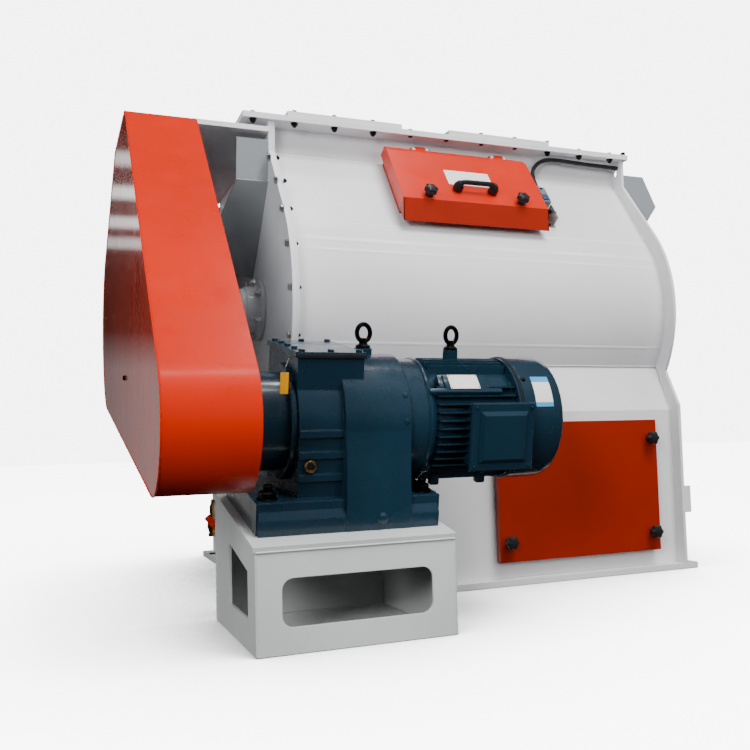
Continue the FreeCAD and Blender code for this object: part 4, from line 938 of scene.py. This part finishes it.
# Door switch on its bracket
def add_switch():
    bm = bmesh.new()
    block(bm, (283, 100, 0.5), (330, 290, 5), slope, 1.2, 1)
    block(bm, (318, 212, 4), (323, 290, 46), slope, 1.2, 1)
    piece("switch_bracket", bm, ZINC)
    bm = bmesh.new()
    block(bm, (291, 112, 5), (329, 198, 46), slope, 4, 3)
    block(bm, (296, 117, 44), (324, 160, 49), slope, 2, 2)
    gland = round_profile([(0, 13), (4, 13), (6, 11), (14, 11), (18, 9)], 1.5)
    revolve(bm, slope(310, 112, 28), -DOWN, gland, 24)
    piece("switch_body", bm, SWITCH_GREY, replaces=("door_switch",))
    bm = bmesh.new()
    block(bm, (297, 164, 44), (323, 190, 50), slope, 2, 2)
    piece("switch_key", bm, SWITCH_BLUE)
    bm = bmesh.new()
    screw = slope(280, 232, 26)
    sweep(bm, [screw, screw + X * 62], 4, 12)
    for x in (4, 28, 38, 47):
        hexagon(bm, screw + X * x, X, 13, 6)
    for s, d in ((128, 49), (282, 5)):
        bolt(bm, slope(306, s, d), OFF, 5, washer=False)
    piece("switch_screws", bm, DARK_STEEL)


# Ball valve on the left end plate, with its butterfly lever
def add_valve():
    x, y, pivot_z, turn = -795, 340, 172, math.radians(50)
    pipe = [(-726, 262), (-775, 262), (-790, 258), (x, 244), (x, 205)]
    body = [(0, 9), (0, 16), (12, 16), (14, 13), (22, 15), (36, 20), (50, 20), (62, 15), (70, 13),
            (72, 16), (86, 16), (88, 12)]
    bm = bmesh.new()
    sweep(bm, [Vector((px, y, pz)) for px, pz in pipe], 10.5, 16)
    revolve(bm, Vector((x, y, 122)), Z, round_profile(body, 2), 28)
    revolve(bm, Vector((x, y - 12, pivot_z)), -Y, [(0, 10), (5, 10), (7, 6)], 20)
    piece("valve_body", bm, BRASS, replaces=("ball_valve",))

    def on_handle(p, q, r):
        return Vector((x + p * math.cos(turn) + r * math.sin(turn), q,
                       pivot_z - p * math.sin(turn) + r * math.cos(turn)))

    bm = bmesh.new()
    block(bm, (-45, 298, -13), (45, 304, 13), on_handle, 2.8, 3)
    block(bm, (-14, 303, -11), (14, 312, 11), on_handle, 3, 3)
    revolve(bm, Vector((x, 298, pivot_z)), -Y, [(-6, 8), (0, 8), (5, 7), (7, 4)], 20)
    piece("valve_butterfly", bm, ORANGE_PAINT, "valve_handle", replaces=("valve_lever",))


def add_tie_rods():
    bm = bmesh.new()
    lo, hi = low("gate_cylinder_barrel"), high("gate_cylinder_barrel")
    mid = Vector((-849, 0, (lo.z + hi.z) / 2))
    for a, b in ((-44, -44), (-44, 44), (44, -44), (44, 44)):
        start = Vector((mid.x + a, lo.y - 6, mid.z + b))
        sweep(bm, [start, Vector((start.x, 392, start.z))], 5, 10)
        hexagon(bm, Vector((start.x, lo.y, start.z)), -Y, 16, 8)
    piece("cylinder_tie_rods", bm, ZINC, "cylinder_barrel")


# Bolt of the guard's end sheet, clip on the top flange's corner, washers of the anchor holes
def add_guard_bolt():
    bm = bmesh.new()
    bolt(bm, Vector((-1199, -536, 705)), -X, 8)
    block(bm, (716, -476, 1610), (728, -456, 1624), here, 2, 2)
    for x in (-747.5, 747.5):
        for y in (-600, 600):
            revolve(bm, Vector((x, y, 20)), Z, [(0, 19), (3, 19), (3.5, 18)], 24)
    piece("guard_bolt", bm, DARK_STEEL)


add_vessel_bolts()
add_gusset_tops()
add_welds()
add_bearings()
add_reducer_details()
add_reducer_apron()
add_eyebolts()
add_motor_pads()
add_cowl()
add_terminal_lid()
add_tag()
add_knobs()
add_bridge_handle()
add_door_front_edge()
add_door_trim()
add_switch()
add_valve()
add_tie_rods()
add_guard_bolt()


# Rounded casting edges on the housing; the CAD mesh itself stays as it is
def soften(name, width, steps=3):
    made = nodes[name]
    weld = made.modifiers.new("joined", "WELD")
    weld.merge_threshold = 0.00002
    rounded = made.modifiers.new("rounded", "BEVEL")
    rounded.width = width * MM
    rounded.segments = steps
    rounded.limit_method = "ANGLE"
    rounded.angle_limit = math.radians(40)
    normals = made.modifiers.new("normals", "WEIGHTED_NORMAL")
    normals.keep_sharp = True


soften("reducer_housing", 6)
soften("terminal_box", 5)
soften("output_hub", 5)
soften("motor_adapter", 4)


# Pale floor that glows white, lights nothing and has a painted shadow where the machine covers it
def add_floor():
    bm = bmesh.new()
    bmesh.ops.create_grid(bm, x_segments=2, y_segments=2, size=30)
    mesh = bpy.data.meshes.new("floor")
    bm.to_mesh(mesh)
    bm.free()
    s = Surface("floor_paint", 1.0)
    s.set("Base Color", blended(s.tree, s.noise(0.8, 2), rgb(0.86, 0.86, 0.86), rgb(0.90, 0.90, 0.90)))
    s.set("Roughness", 0.8)
    # glow cut down by ambient occlusion: painted shadow under and inside the machine
    painted_shadow_ao = node(s.tree, "AmbientOcclusion", {"samples": 8}, Distance=0.9).outputs["AO"]
    s.set("Emission Color", rgb(1, 1, 1))
    s.set("Emission Strength", span(s.tree, painted_shadow_ao, 0.35, 0.95, 0.0, 7.0))
    mesh.materials.append(s.done())
    floor = bpy.data.objects.new("floor", mesh)
    floor.location.z = -0.0015
    bpy.context.scene.collection.objects.link(floor)
    floor.visible_glossy = False
    floor.visible_diffuse = False


# Bright window strips low behind the machine for the guard to mirror: height, half width, strength
WINDOWS = ((0.217, 0.008, 1.6), (0.238, 0.008, 2.4), (0.268, 0.009, 2.8), (0.301, 0.010, 2.0))


# White to the camera, windows over dim grey to glossy rays, soft grey to all others
def add_world():
    world = bpy.data.worlds.new("studio")
    bpy.context.scene.world = world
    world.use_nodes = True
    tree = world.node_tree
    ground = tree.nodes["Background"]
    x, y, z = node(tree, "SeparateXYZ", Vector=node(tree, "TexCoord").outputs["Generated"]).outputs
    path = node(tree, "LightPath").outputs
    rise = span(tree, z, -0.1, 0.9, 0.10, 0.75)
    behind = span(tree, y, -0.3, 0.6, 1.0, 0.12)
    aside = span(tree, x, -0.5, 0.4, 0.30, 1.0)
    soft = maths(tree, "MULTIPLY", maths(tree, "MULTIPLY", rise, behind), aside)
    glow = lined(tree, z, WINDOWS, 0.3)
    glow = maths(tree, "ADD", glow, span(tree, z, 0.125, 0.085, 0.0, 0.35))
    glow = maths(tree, "MULTIPLY", glow, span(tree, y, 0.45, 0.75))
    glow = maths(tree, "MULTIPLY", glow, span(tree, x, 0.0, -0.15))
    mirrored = maths(tree, "ADD", maths(tree, "MULTIPLY", soft, 0.45), glow)
    light = blended(tree, path["Is Glossy Ray"], soft, mirrored)
    light = blended(tree, path["Is Camera Ray"], light, rgb(6.0, 6.0, 6.0))
    tree.links.new(light, ground.inputs["Color"])
    ground.inputs["Strength"].default_value = 1.0


# Soft boxes: name, place, target, width, height, power, seen in reflections
LAMPS = (
    ("key", (1.0, -3.8, 5.6), (0.0, -0.5, 0.9), 2.6, 2.6, 400, False),
    ("front", (2.4, -6.4, 1.8), (0.2, -0.6, 0.7), 2.4, 2.4, 95, False),
    ("left", (-3.2, -4.2, 2.0), (-0.8, -0.5, 0.8), 1.4, 1.4, 130, False),
    ("end", (-5.2, -1.9, 1.7), (-1.2, -0.8, 0.7), 1.6, 1.6, 70, False),
    ("back", (-0.5, 6.5, 4.2), (0.0, 0.5, 0.8), 3.2, 3.2, 230, False),
    ("bend", (-0.4, -2.55, 5.0), (-1.0, -1.1, 0.8), 1.2, 0.6, 40, True),
    ("gloss", (0.35, -0.85, 5.0), (-0.6, -1.2, 0.4), 0.6, 0.6, 30, True))


def add_lamps():
    for name, place, target, width, height, power, mirrored in LAMPS:
        data = bpy.data.lights.new(name, "AREA")
        data.shape = "RECTANGLE"
        data.size = width
        data.size_y = height
        data.energy = power
        made = bpy.data.objects.new(name, data)
        made.location = place
        made.rotation_euler = (Vector(target) - Vector(place)).to_track_quat("-Z", "Y").to_euler()
        made.visible_glossy = mirrored
        bpy.context.scene.collection.objects.link(made)


add_floor()
add_world()
add_lamps()
